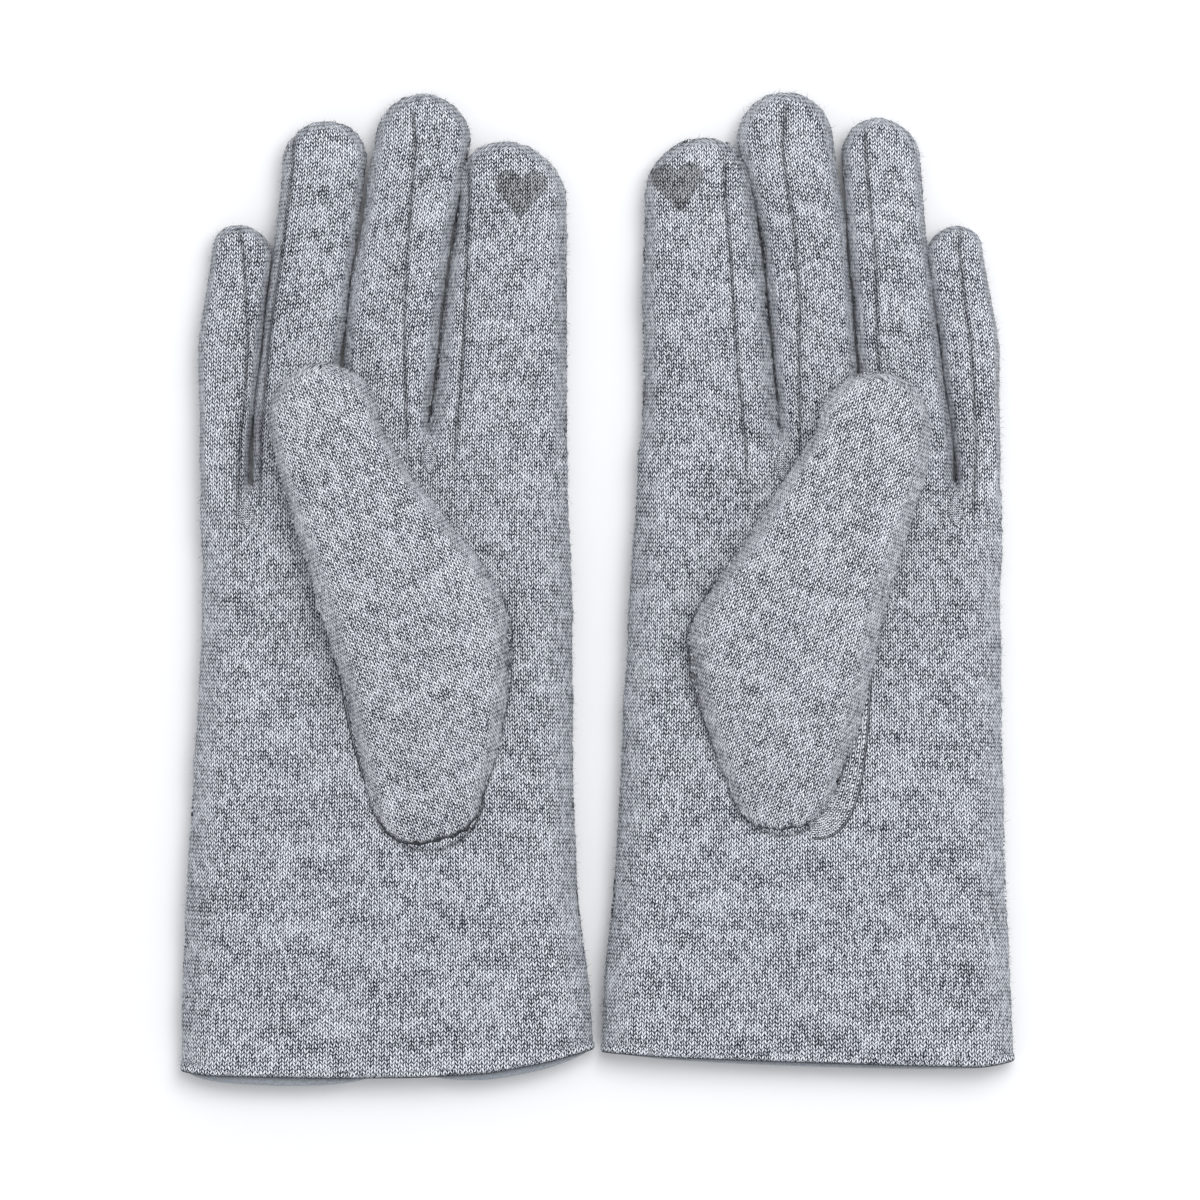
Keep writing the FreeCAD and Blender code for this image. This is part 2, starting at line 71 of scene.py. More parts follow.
# %% The pattern of each glove
FINGERS = ("index", "middle", "ring", "little")
PATTERN = {
    "right": {
        "index": {"stations": [(14, -23.7, 14.6), (36, -23.7, 16.2), (63, -22.3, 14.8), (93, -20.3, 12.6)],
                  "crotch": 35.0, "cut": 39.0, "seams": {-1: [(30, -10.2), (57, -9.3), (100, -10.5)]}},
        "middle": {"stations": [(14, -51.3, 9.6), (36, -51.0, 10.6), (63, -48.6, 11.0), (84, -45.6, 10.8),
                                (105.5, -41.6, 11.3)],
                   "crotch": 35.0, "cut": 39.0,
                   "seams": {1: [(36, 5.6), (57, 3.3), (98, -0.7), (112, -2.4)]}},
        "ring": {"stations": [(10, -72.9, 9.0), (34.5, -72.2, 9.7), (57, -70.3, 9.3), (82, -67.0, 9.6),
                              (100.5, -64.9, 9.8)],
                 "crotch": 25.4, "cut": 31.0, "seams": {-1: [(30, -7.6), (60, -7.8), (95, -7.4)]}},
        "little": {"stations": [(6, -88.6, 4.6), (34.5, -88.5, 5.9), (44, -87.9, 6.6), (57, -87.5, 7.4),
                                (78.4, -84.6, 7.1)],
                   "crotch": 21.9, "cut": 27.5, "seams": {1: [(30, 3.6), (57, 4.7), (82, 0.0)]}},
        "crotches": [(-40.1, 35.0), (-62.6, 25.4), (-83.2, 21.9)],
        "edges": {-1: [(-118, -98.9), (-93, -98.6), (-65, -97.2), (-27, -94.8), (-8, -93.4), (30, -94.4),
                       (60, -95)],
                  1: [(-118, -0.5), (-93, -2.5), (-74, -4.9), (-46, -6.1), (-8, -6.3), (30, -7.6),
                      (60, -7.2)]},
        "thumb": {"stations": [(-49.2, -40.4, 13.2), (-38.3, -40.4, 16.6), (-23.5, -40.6, 19.6),
                               (-8, -42.6, 22.0), (1.9, -46.0, 21.3), (15.9, -54.1, 18.1), (28, -60.4, 15.2),
                               (39.1, -65.0, 13.2)],
                  "lean": -25.0},
        "gusset": {"outer": [(-62.6, -8.0), (-60.9, -24.0), (-57.4, -40.0), (-51.6, -55.0)],
                   "inner": [(-60.5, -8.0), (-57.6, -24.0), (-54.0, -40.0), (-49.6, -54.0)]},
        "hem": [(-98.6, -115.0), (-93, -115.9), (-64, -116.5), (-43, -116.3), (-26.5, -115.4),
                (-12.8, -112.9), (-2.7, -110.1)],
        "peeks": [(-98.5, -54.0, 1.9), (-40.0, -1.0, 1.6)],
        "heart": {"middle": (-18.4, 92.7), "turn": -2.0},
    },
    "left": {
        "index": {"stations": [(12, 26.2, 14.8), (33, 26.6, 16.4), (50, 26.0, 15.3), (70, 25.1, 14.7),
                               (94, 23.8, 12.5)],
                  "crotch": 33.3, "cut": 37.5, "seams": {1: [(30, 8.4), (50, 7.1), (82, 6.4), (104, 6.0)]}},
        "middle": {"stations": [(12, 53.6, 8.8), (33, 53.2, 9.5), (50, 51.6, 9.7), (70, 50.1, 9.9),
                                (85, 48.4, 10.1), (106, 44.3, 11.3)],
                   "crotch": 33.3, "cut": 37.5,
                   "seams": {-1: [(32, -5.6), (66, -2.9), (100, -1.7), (114, 0.4)]}},
        "ring": {"stations": [(8, 74.2, 9.4), (31, 73.9, 10.2), (57, 71.1, 9.7), (84, 68.4, 9.2),
                              (101.5, 67.0, 9.3)],
                 "crotch": 25.4, "cut": 31.0,
                 "seams": {-1: [(28, -6.0), (52, -5.4), (79, -3.4), (101, -3.8)]}},
        "little": {"stations": [(6, 90.2, 4.4), (31, 90.0, 5.4), (44, 88.9, 6.1), (57, 88.2, 7.0),
                                (79, 84.5, 6.6)],
                   "crotch": 22.6, "cut": 28.0, "seams": {-1: [(26, -1.0), (44, 0.0), (63, 0.0), (81, 1.0)]}},
        "crotches": [(43.4, 33.3), (63.4, 25.4), (84.4, 22.6)],
        "edges": {-1: [(-118, 0.5), (-93, 1.5), (-65, 4.2), (-27, 6.3), (-8, 7.3), (30, 9.6), (60, 10.4)],
                  1: [(-118, 98.7), (-93, 97.6), (-74, 96.7), (-46, 95.9), (-8, 95.0), (30, 95.6),
                      (60, 95.4)]},
        "thumb": {"stations": [(-46, 43.6, 12.6), (-37, 43.2, 16.4), (-23, 43.0, 20.6), (-10, 43.8, 23.0),
                               (2, 48.4, 20.4), (14, 55.2, 18.0), (26, 60.6, 16.0), (37.6, 65.2, 13.2)],
                  "lean": 20.0},
        "gusset": {"outer": [(64.8, -22.0), (63.6, -36.0), (62.2, -47.0), (58.0, -57.2), (51.0, -59.6)],
                   "inner": [(62.6, -22.0), (59.8, -34.5), (57.0, -44.5), (53.4, -52.4), (49.4, -55.0)]},
        "hem": [(0, -110.3), (16, -111.5), (40, -112.4), (70, -113.4), (92, -113.9), (98, -112.6)],
        "peeks": [(-1.0, 100.0, 0.9)],
        "heart": {"middle": (18.9, 94.3), "turn": 4.0},
    },
}

BACK_HEIGHT = 0.25        # the glove's back just clears the table
PALM_TOP = 12.3           # palm side of the puffed hand
CUFF_TOP = 9.6            # the cuff lies flatter
FINGER_TOP, LITTLE_TOP = 12.4, 11.6
THUMB_UNDERSIDE, THUMB_UNDERSIDE_RISE = 9.0, 4.2   # it starts in the palm and rises out of it
SIDE_ROLL = 11.0          # how far in from the side the hand starts to roll over
TOP_ROUND, BACK_ROUND = 2.2, 3.6   # powers of the rounded section: 2 is an ellipse, more is boxier
# How high the folded thumb stands at a few heights along the glove.
THUMB_TOP = [(-62, 13.0), (-50, 15.6), (-40, 18.4), (-28, 21.0), (-15, 22.8), (0, 23.8), (28, 23.6),
             (46, 22.2)]
STATION_SOFTNESS = 4.0    # millimetres over which a kink between two stations is smoothed


def soft_line(stations, column=1):
    """A smooth curve through given stations, as a function of the first number."""
    x, y = np.array([row[0] for row in stations], float), np.array([row[column] for row in stations], float)
    reach = 4 * STATION_SOFTNESS
    ends = [(y[1] - y[0]) / (x[1] - x[0]), (y[-1] - y[-2]) / (x[-1] - x[-2])]
    x = np.concatenate([[x[0] - reach], x, [x[-1] + reach]])
    y = np.concatenate([[y[0] - reach * ends[0]], y, [y[-1] + reach * ends[1]]])
    fine = np.arange(x[0], x[-1], 0.5)
    rough = np.interp(fine, x, y)
    span = np.arange(-reach / 2, reach / 2 + 0.1, 0.5)
    weight = np.exp(-0.5 * (span / STATION_SOFTNESS * 2) ** 2)
    smooth = np.convolve(np.pad(rough, len(span) // 2, mode="edge"), weight / weight.sum(), "valid")
    return lambda at: np.interp(at, fine, smooth)


print("stations per glove", {glove: sum(len(cut[name]["stations"]) for name in FINGERS + ("thumb",))
                             for glove, cut in PATTERN.items()})

# %% [markdown]
# ## Soft forms
#
# A stuffed glove has no flat faces and no sharp inside corners. It could be sculpted, or built from tubes
# that are joined by hand, but the palm has to flow into four fingers without a crease. So each part is a
# field: a formula that is below zero inside the cloth and above zero outside. Two fields join with a soft
# minimum, which leaves a fillet, and seams are shallow valleys that are added to the field.


# %% Fields for a finger, a palm and a thumb
def soft_min(one, other, width):
    """The lesser of two fields, with a fillet where they meet."""
    near = np.clip(width - np.abs(one - other), 0, None) / width
    return np.minimum(one, other) - near * near * width / 4


def ease(value, low, high):
    """0 below low, 1 above high, and smooth between."""
    t = np.clip((value - low) / (high - low), 0, 1)
    return t * t * (3 - 2 * t)


def puffed(sideways, z, low, high):
    """The field of a puffed section: sideways is 0 in the middle and 1 at its widest."""
    middle, half = (low + high) / 2, (high - low) / 2
    lift = np.abs(z - middle) / half
    power = np.where(z > middle, TOP_ROUND, BACK_ROUND)
    return ((sideways ** power + lift ** power) ** (1 / power) - 1) * half


def soft_dents(x, y, seed):
    """Slow swells, a few tenths of a millimetre, as the cloth doesn't lie quite even."""
    a, b = seed * 1.7, seed * 0.9
    return (0.18 * np.sin(x / 6.1 + y / 13.0 + a) * np.sin(y / 8.3 - x / 21.0 + b)
            + 0.13 * np.sin(x / 3.7 - y / 6.9 + b) * np.sin(y / 5.1 + a))


def nubs(x, y, z):
    """The cloth's fine unevenness, a tenth of a millimetre or so over two or three stitches."""
    return 0.075 * (np.sin(x * 2.3 + 1.9 * np.sin(y * 0.83)) * np.sin(y * 2.6 + 1.7 * np.sin(x * 0.71 + z))
                    + np.sin(z * 1.9 + x * 1.1) * np.sin(y * 1.7 + 2.1 * np.sin(z * 0.9 + y * 0.37)))


class Finger:
    """One finger, or the thumb, as a puffed form along its stations."""

    def __init__(self, glove, name):
        cut = PATTERN[glove][name]
        self.glove, self.name, self.stations = glove, name, cut["stations"]
        self.middle, self.half = soft_line(cut["stations"], 1), soft_line(cut["stations"], 2)
        self.foot_y, self.tip_y = cut["stations"][0][0], cut["stations"][-1][0]
        self.seams = {side: soft_line(line) for side, line in cut.get("seams", {}).items()}
        self.thumb = name == "thumb"
        self.lean = math.radians(cut["lean"]) if self.thumb else math.atan(
            (self.middle(self.tip_y) - self.middle(self.foot_y + 25)) / (self.tip_y - self.foot_y - 25))
        self.crotch = cut.get("crotch", 0.0)
        self.seed = 1 + len(name) + (3 if glove == "left" else 0)

    def across(self, x, y):
        return x - self.middle(np.clip(y, self.foot_y, self.tip_y))

    def heights(self, y):
        if self.thumb:
            low = THUMB_UNDERSIDE + THUMB_UNDERSIDE_RISE * ease(y, -38, -6)
            return low, np.interp(y, *zip(*THUMB_TOP))
        full = LITTLE_TOP if self.name == "little" else FINGER_TOP
        rise = ease(y, self.crotch - 24, self.crotch + 2)
        return BACK_HEIGHT, full * (0.80 + 0.20 * rise) - 1.0 * ease(y, self.tip_y - 14, self.tip_y + 12)

    def sideways(self, x, y):
        inside = np.clip(y, self.foot_y if self.thumb else -1e3, self.tip_y)
        beyond = y - inside
        # The seam pulls each tip a little to one side, so no two caps are quite round.
        pull = TIP_PULL.get((self.glove, self.name), 0.0)
        pulled = x - self.middle(inside) + pull * np.clip(beyond, 0, None)
        return np.hypot(pulled, beyond) / np.maximum(self.half(inside), 1.0)

    def seam_distance(self, x, y):
        """Millimetres from the nearest of the finger's seams on the palm side."""
        if not self.seams:
            return np.full(np.shape(x), 99.0)
        return np.min([np.abs(self.across(x, y) - line(y)) for line in self.seams.values()], axis=0)

    def field(self, x, y, z):
        low, high = self.heights(y)
        form = puffed(self.sideways(x, y), z, low, high)
        form = form + soft_dents(x, y, self.seed) * (z > (low + high) / 2) * 1.2 + nubs(x, y, z)
        if self.seams:
            fade = ease(y, self.crotch - 14, self.crotch + 4) * ease(z, 5.0, 9.0)
            form = form + SEAM_DEPTH * np.exp(-(self.seam_distance(x, y) / SEAM_WIDTH) ** 2) * fade
        return form


# Millimetres that a fingertip leans to its left for each millimetre beyond its last station.
TIP_PULL = {("right", "index"): 0.16, ("right", "ring"): -0.10, ("right", "little"): 0.12,
            ("left", "index"): -0.08, ("left", "ring"): 0.08, ("left", "little"): -0.12}
SEAM_DEPTH, SEAM_WIDTH = 0.5, 0.75
FILLET = 2.6


class Hand:
    """The hand of one glove, from its cuff to the crotches between the fingers."""

    def __init__(self, glove):
        cut = PATTERN[glove]
        self.glove = glove
        self.left, self.right = soft_line(cut["edges"][-1]), soft_line(cut["edges"][1])
        self.crotches = sorted(cut["crotches"])
        self.hem = soft_line(cut["hem"])
        self.fingers = {name: Finger(glove, name) for name in FINGERS}
        self.thumb = Finger(glove, "thumb")

    def heights(self, y):
        return BACK_HEIGHT, CUFF_TOP + (PALM_TOP - CUFF_TOP) * ease(y, -120, -70)

    def inset(self, x, y):
        xs, ys = zip(*self.crotches)
        top = (np.interp(x, xs, ys) + 1.0 - y) * SIDE_ROLL / 7.0
        return soft_min(np.minimum(x - self.left(y), self.right(y) - x), top, 3.0)

    def palm_field(self, x, y, z):
        low, high = self.heights(y)
        seed = 2 if self.glove == "left" else 5
        uneven = soft_dents(x, y, seed) * (z > 6) + nubs(x, y, z)
        form = puffed(np.clip(1 - self.inset(x, y) / SIDE_ROLL, 0, 3), z, low, high)
        return form + uneven * ease(y, -112, -100)

    def with_finger(self, name, x, y, z):
        # At the sides and back the palm and the finger share one surface, so there the fillet fades out.
        inwards = np.minimum(x - self.left(y), self.right(y) - x)
        width = 0.05 + FILLET * ease(inwards, 1.0, 9.0) * ease(z, 0.5, 4.0)
        return soft_min(self.palm_field(x, y, z), self.fingers[name].field(x, y, z), width)

    def owner(self, x, y):
        """Which finger's strip of the glove a point lies in, as a number into FINGERS."""
        order = FINGERS if self.glove == "left" else FINGERS[::-1]
        spot = np.zeros(np.shape(x), int)
        for (_, crotch_y), one, other in zip(self.crotches, order, order[1:]):
            at = np.clip(y, crotch_y, None)
            one, other = self.fingers[one], self.fingers[other]
            spot += x > (one.middle(at) + one.half(at) + other.middle(at) - other.half(at)) / 2
        return spot if self.glove == "left" else 3 - spot

    def field(self, x, y, z):
        return np.min([self.with_finger(name, x, y, z) for name in FINGERS], axis=0)


HANDS = {glove: Hand(glove) for glove in PATTERN}
print("palm widths in mm", {glove: round(float(hand.right(-10) - hand.left(-10)), 1)
                            for glove, hand in HANDS.items()})

# %% [markdown]
# ## From a field to cloth
#
# The surface of a field is found on a lattice. Each cell that the surface passes through gets one point, and
# each crossed lattice line gets one face between its four cells. The points are then pushed exactly onto the
# field, and the field's slope gives true normals. The hand and each finger are cut from the same lattice, so
# their edges meet point for point where one piece of cloth is sewn to the next.

# %% Lattice surface
CELL = np.array([0.55, 0.8, 0.6])       # lattice spacing across, along and up, in millimetres
LATTICE_TOP = 15.2
THUMB_FLOOR = 8.0


def crossed_cells(values):
    """One point per crossed cell, in lattice steps, and one face per crossed lattice line."""
    cells = np.array(values.shape) - 1
    total, hits, faces = np.zeros((cells.prod(), 3)), np.zeros(cells.prod()), []
    for axis in range(3):
        first, second = [slice(None)] * 3, [slice(None)] * 3
        first[axis], second[axis] = slice(None, -1), slice(1, None)
        low, high = values[tuple(first)], values[tuple(second)]
        line = np.argwhere((low < 0) != (high < 0))
        a, b = low[tuple(line.T)], high[tuple(line.T)]
        point = line.astype(float)
        point[:, axis] += a / (a - b)
        one, two = (axis + 1) % 3, (axis + 2) % 3
        ring = []
        for step_one, step_two in ((0, 0), (1, 0), (1, 1), (0, 1)):
            cell = line.copy()
            cell[:, one] -= step_one
            cell[:, two] -= step_two
            good = ((cell >= 0) & (cell < cells)).all(axis=1)
            flat = np.where(good, np.ravel_multi_index(np.clip(cell, 0, cells - 1).T, cells), -1)
            hits += np.bincount(flat[good], minlength=len(hits))
            for part in range(3):
                total[:, part] += np.bincount(flat[good], weights=point[good, part], minlength=len(hits))
            ring.append(flat)
        ring = np.stack(ring, axis=1)
        ring[a > 0] = ring[a > 0][:, ::-1]
        faces.append(ring[(ring >= 0).all(axis=1)])
    used = np.flatnonzero(hits)
    number = np.full(len(hits), -1)
    number[used] = np.arange(len(used))
    places = np.array(np.unravel_index(used, cells)).T
    return total[used] / hits[used, None], number[np.concatenate(faces)], places


def slope(field, p):
    """The field and its gradient at each point, by small steps."""
    step, here = 0.04, field(*p.T)
    sides = [(field(*(p + step * unit).T) - field(*(p - step * unit).T)) / (2 * step) for unit in np.eye(3)]
    return here, np.stack(sides, axis=1)


def settle(field, p, rounds=3):
    """Push points onto the field's surface, and give its outward normals."""
    for _ in range(rounds):
        here, way = slope(field, p)
        move = here[:, None] * way / np.maximum((way ** 2).sum(axis=1), 0.05)[:, None]
        length = np.linalg.norm(move, axis=1)[:, None]
        p = p - move * np.minimum(1, 0.5 / np.maximum(length, 1e-9))
    way = slope(field, p)[1]
    return p, way / np.maximum(np.linalg.norm(way, axis=1), 1e-9)[:, None]


def skin(field, low, high, cell=CELL):
    """The surface of a field inside a box: points, faces, and each face's middle."""
    # The lattice lines of every piece fall on the same multiples of the cell.
    start = np.floor(np.array(low) / cell).astype(int)
    count = np.ceil(np.array(high) / cell).astype(int) - start + 1
    x, y, z = [(start[axis] + np.arange(count[axis])) * cell[axis] for axis in range(3)]
    grid = np.meshgrid(x, y, z, indexing="ij")
    points, faces, cells = crossed_cells(field(*grid))
    return (points + start) * cell, faces, cells + start


def keep_faces(faces, wanted):
    """Only the wanted faces, and the points they use."""
    faces = faces[wanted]
    used, inverse = np.unique(faces, return_inverse=True)
    return used, inverse.reshape(faces.shape)


def cloth_object(name, points, faces, normals=None, knit=None, material=None):
    """A mesh in metres, with its normals and its knit map: wale and course in mm, and how much painted seam
    shade it gets.
    """
    mesh = bpy.data.meshes.new(name)
    mesh.from_pydata((points * MM).tolist(), [], faces.tolist() if hasattr(faces, "tolist") else faces)
    mesh.polygons.foreach_set("use_smooth", [True] * len(mesh.polygons))
    if knit is not None:
        stitches = mesh.attributes.new("knit", "FLOAT_VECTOR", "POINT")
        stitches.data.foreach_set("vector", knit.astype(np.float32).ravel())
    if normals is not None:
        mesh.normals_split_custom_set_from_vertices(normals.tolist())
    if material is not None:
        mesh.materials.append(material)
    piece = bpy.data.objects.new(name, mesh)
    bpy.context.scene.collection.objects.link(piece)
    return piece


print("lattice cell in mm", CELL.round(2))

# %% [markdown]
# ## Colours and finishes
#
# The knit is a heathered wool jersey: light and dark fibres are carded together before spinning, so every
# stitch has its own grey, with soft clouds a centimetre wide and a few short streaks along the courses. It
# could be an image, but a woven-in map of wales and courses, in real millimetres, keeps the stitches the
# right size round every finger. One function turns sRGB hex values to linear, and one adds a node with its
# settings and links.


# %% Colour and node helpers
def linear(hexcode):
    """sRGB hex to linear red, green, blue and alpha."""
    parts = [int(hexcode[spot:spot + 2], 16) / 255 for spot in (0, 2, 4)]
    return [part / 12.92 if part <= 0.04045 else ((part + 0.055) / 1.055) ** 2.4 for part in parts] + [1.0]


def add_node(tree, kind, settings=None, **links):
    """A node with its settings; a link's value is a socket, and any other value is set on the input."""
    node = tree.nodes.new(kind)
    for name, value in (settings or {}).items():
        setattr(node, name, value)
    for name, value in links.items():
        numbered = name[0] == "i" and name[1:].isdigit()
        socket = node.inputs[int(name[1:]) if numbered else name.replace("_", " ")]
        if isinstance(value, bpy.types.NodeSocket):
            tree.links.new(value, socket)
        else:
            socket.default_value = value
    return node


def new_finish(name, tint, roughness, sheen):
    """A cloth material with its constants set on the shader's own sockets."""
    material = bpy.data.materials.new(name)
    material.use_nodes = True
    material.diffuse_color = linear(tint)
    tree = material.node_tree
    shader = tree.nodes["Principled BSDF"]
    shader.inputs["Roughness"].default_value = roughness
    shader.inputs["IOR"].default_value = 1.5
    shader.inputs["Specular IOR Level"].default_value = 0.25
    shader.inputs["Sheen Weight"].default_value = sheen
    shader.inputs["Sheen Roughness"].default_value = 0.55
    shader.inputs["Sheen Tint"].default_value = linear(tint)
    return material, tree, shader


# Millimetres from stitch to stitch, across and along. The real cloth is about 1.0 by 0.8, and is drawn a
# little coarser so that each stitch still shows when the whole pair is in view.
WALE, COURSE = 1.15, 0.98
WOBBLE = 0.35                 # how far a line of stitches wanders, in millimetres
# How much of the tone comes from the stitch's shape, its own fleck, its fibres, and the yarn's slow changes.
STITCH_SHARE, CHANCE_SHARE, FIBRE_SHARE, STREAK_SHARE, CLOUD_SHARE = 1.9, 0.75, 1.1, 0.4, 0.9


def math_node(tree, operation, one, other=0.0, third=0.0):
    return add_node(tree, "ShaderNodeMath", {"operation": operation}, i0=one, i1=other, i2=third).outputs[0]


def knit_stitches(tree):
    """Height of the V stitches from 0 to 1, a random number for each leg of a stitch, and the map itself."""
    knit = add_node(tree, "ShaderNodeAttribute", {"attribute_name": "knit"}).outputs["Vector"]
    # Hand-finished jersey is never quite even: its lines wander by a fraction of a stitch.
    wander = add_node(tree, "ShaderNodeTexNoise", Vector=knit, Scale=0.7, Detail=2.0)
    shift = add_node(tree, "ShaderNodeVectorMath", {"operation": "SUBTRACT"}, i0=wander.outputs["Color"],
                     i1=(0.5, 0.5, 0.5)).outputs[0]
    moved = add_node(tree, "ShaderNodeVectorMath", {"operation": "MULTIPLY_ADD"}, i0=shift,
                     i1=(WOBBLE * 2, WOBBLE * 2, 0.0), i2=knit).outputs[0]
    parts = add_node(tree, "ShaderNodeSeparateXYZ", Vector=moved)
    across = math_node(tree, "DIVIDE", parts.outputs["X"], WALE)
    leg = math_node(tree, "MULTIPLY", across, 2.0)
    in_wale = math_node(tree, "ABSOLUTE", math_node(tree, "SUBTRACT", math_node(tree, "FRACT", across), 0.5))
    spread = math_node(tree, "MULTIPLY", in_wale, 2.0)
    rise = math_node(tree, "SUBTRACT", math_node(tree, "DIVIDE", parts.outputs["Y"], COURSE),
                     math_node(tree, "MULTIPLY", spread, 1.0))
    crown = math_node(tree, "SINE", math_node(tree, "MULTIPLY", math_node(tree, "FRACT", rise), math.pi))
    body = math_node(tree, "SINE", math_node(tree, "MULTIPLY", spread, math.pi))
    height = math_node(tree, "MULTIPLY", math_node(tree, "POWER", math_node(tree, "ABSOLUTE", crown), 0.8),
                       math_node(tree, "POWER", math_node(tree, "ABSOLUTE", body), 0.55))
    spot = add_node(tree, "ShaderNodeCombineXYZ", X=math_node(tree, "FLOOR", leg),
                    Y=math_node(tree, "FLOOR", rise)).outputs[0]
    fleck = add_node(tree, "ShaderNodeTexWhiteNoise", {"noise_dimensions": "3D"}, Vector=spot)
    return height, fleck.outputs["Value"], knit


def stretched_noise(tree, knit, across_mm, along_mm, detail, roughness=0.6):
    """Noise whose grains are so many millimetres across the wales and along them."""
    scaled = add_node(tree, "ShaderNodeVectorMath", {"operation": "MULTIPLY"}, i0=knit,
                      i1=(1 / across_mm, 1 / along_mm, 0.0)).outputs[0]
    return add_node(tree, "ShaderNodeTexNoise", Vector=scaled, Scale=1.0, Detail=detail,
                    Roughness=roughness).outputs["Fac"]


def heathered_knit(name, shades, seam_shade_grey, bump=0.6):
    """Heathered wool jersey, steamed and lightly brushed: matt, with a soft bloom at its edges and painted
    shade in its seams.
    """
    material, tree, shader = new_finish(name, shades[1], 0.92, 0.25)
    height, chance, knit = knit_stitches(tree)
    streak = stretched_noise(tree, knit, 6.0, 1.2, 2.0)
    cloud = stretched_noise(tree, knit, 11.0, 7.0, 3.0)
    fibre = stretched_noise(tree, knit, 0.5, 0.5, 2.0, 0.8)
    tone = math_node(tree, "MULTIPLY_ADD", height, STITCH_SHARE, 0.5 - 0.52 * STITCH_SHARE)
    for source, share in ((chance, CHANCE_SHARE), (fibre, FIBRE_SHARE), (streak, STREAK_SHARE),
                          (cloud, CLOUD_SHARE)):
        tone = math_node(tree, "ADD", tone, math_node(tree, "MULTIPLY_ADD", source, share, -0.5 * share))
    ramp = add_node(tree, "ShaderNodeValToRGB", i0=tone)
    stops = ramp.color_ramp.elements
    stops[0].position, stops[0].color = 0.0, linear(shades[0])
    stops[1].position, stops[1].color = 1.0, linear(shades[2])
    stops.new(0.5).color = linear(shades[1])
    # Painted shade: the knit map's third number mixes the colour towards the near-black seam grey, for the
    # shade in seam grooves, creases and under the hem's edge.
    seam_shade = add_node(tree, "ShaderNodeSeparateXYZ", Vector=knit).outputs["Z"]
    seam_shaded = add_node(tree, "ShaderNodeMix", {"data_type": "RGBA"}, i0=seam_shade, i6=ramp.outputs["Color"],
                      i7=linear(seam_shade_grey))
    tree.links.new(seam_shaded.outputs[2], shader.inputs["Base Color"])
    rough = math_node(tree, "MULTIPLY_ADD", fibre, 0.4, height)
    relief = add_node(tree, "ShaderNodeBump", Strength=bump, Distance=0.45 * MM, Height=rough)
    tree.links.new(relief.outputs["Normal"], shader.inputs["Normal"])
    return material


def brushed_jersey():
    """Plain polyester jersey with a brushed face: even blue-grey, no clear stitches, a soft nap."""
    material, tree, shader = new_finish("brushed_polyester_jersey", "8f959c", 0.95, 0.45)
    knit = add_node(tree, "ShaderNodeAttribute", {"attribute_name": "knit"}).outputs["Vector"]
    nap = stretched_noise(tree, knit, 0.6, 0.6, 4.0, 0.7)
    ramp = add_node(tree, "ShaderNodeValToRGB", i0=nap)
    ramp.color_ramp.elements[0].position, ramp.color_ramp.elements[0].color = 0.25, linear("70767d")
    ramp.color_ramp.elements[1].position, ramp.color_ramp.elements[1].color = 0.80, linear("b2b7bd")
    tree.links.new(ramp.outputs["Color"], shader.inputs["Base Color"])
    relief = add_node(tree, "ShaderNodeBump", Strength=0.4, Distance=0.3 * MM, Height=nap)
    tree.links.new(relief.outputs["Normal"], shader.inputs["Normal"])
    return material


def spun_thread():
    """Spun polyester sewing thread: two plies twisted tight, so short slanted bands with a little gloss."""
    material, tree, shader = new_finish("spun_polyester_thread", "666b71", 0.6, 0.1)
    place = add_node(tree, "ShaderNodeTexCoord").outputs["Object"]
    ply = add_node(tree, "ShaderNodeTexWave", {"bands_direction": "DIAGONAL"}, Vector=place,
                   Scale=1 / (1.2 * MM), Distortion=1.5)
    ramp = add_node(tree, "ShaderNodeValToRGB", i0=ply.outputs["Fac"])
    ramp.color_ramp.elements[0].color, ramp.color_ramp.elements[1].color = linear("4a4e54"), linear("7f858c")
    tree.links.new(ramp.outputs["Color"], shader.inputs["Base Color"])
    return material


def wool_fibre():
    """Loose wool fibre ends that stand off the knit: pale and matt."""
    material, tree, shader = new_finish("loose_wool_fibre", "c9cdd2", 0.9, 0.5)
    place = add_node(tree, "ShaderNodeTexCoord").outputs["Object"]
    shade = add_node(tree, "ShaderNodeTexNoise", Vector=place, Scale=1 / (1.5 * MM), Detail=1.0)
    ramp = add_node(tree, "ShaderNodeValToRGB", i0=shade.outputs["Fac"])
    ramp.color_ramp.elements[0].position, ramp.color_ramp.elements[0].color = 0.35, linear("5f656c")
    ramp.color_ramp.elements[1].position, ramp.color_ramp.elements[1].color = 0.65, linear("d3d7db")
    tree.links.new(ramp.outputs["Color"], shader.inputs["Base Color"])
    return material


# The last grey of each finish is painted shade for seams and creases, not a colour of the yarn.
KNIT = heathered_knit("heathered_wool_jersey", ("0e1218", "7c838d", "f6f9ff"), "1c1f23")
THUMB_KNIT = heathered_knit("heathered_wool_jersey_thumb", ("12161c", "8b929c", "f8faff"), "1c1f23")
PATCH_KNIT = heathered_knit("conductive_plated_jersey", ("0d0e11", "5c6065", "b9bcc0"), "1f2123")
LINING = brushed_jersey()
THREAD = spun_thread()
FIBRE = wool_fibre()
print("finishes", [material.name for material in (KNIT, THUMB_KNIT, PATCH_KNIT, LINING, THREAD, FIBRE)])


# %% [markdown]
# ## Where each stitch lies
#
# Wales run up the palm and on into each finger, so the map starts as plain distances on the palm and turns
# into distances from each finger's own middle. Round the sides it counts on down to half the cloth's height
# and is mirrored from there to the back, so that no stitch is squeezed.

# %% Knit maps
# How much painted shade darkens a finger seam's groove and the crease of the thumb's seam, from 0 to 1, and
# half the width of either band of painted shade in millimetres.
SEAM_SHADE, THUMB_SEAM_SHADE, SEAM_SHADE_WIDTH = 0.75, 0.9, 0.42
PALM_WALES = 88.0             # millimetres of unstretched knit across the palm


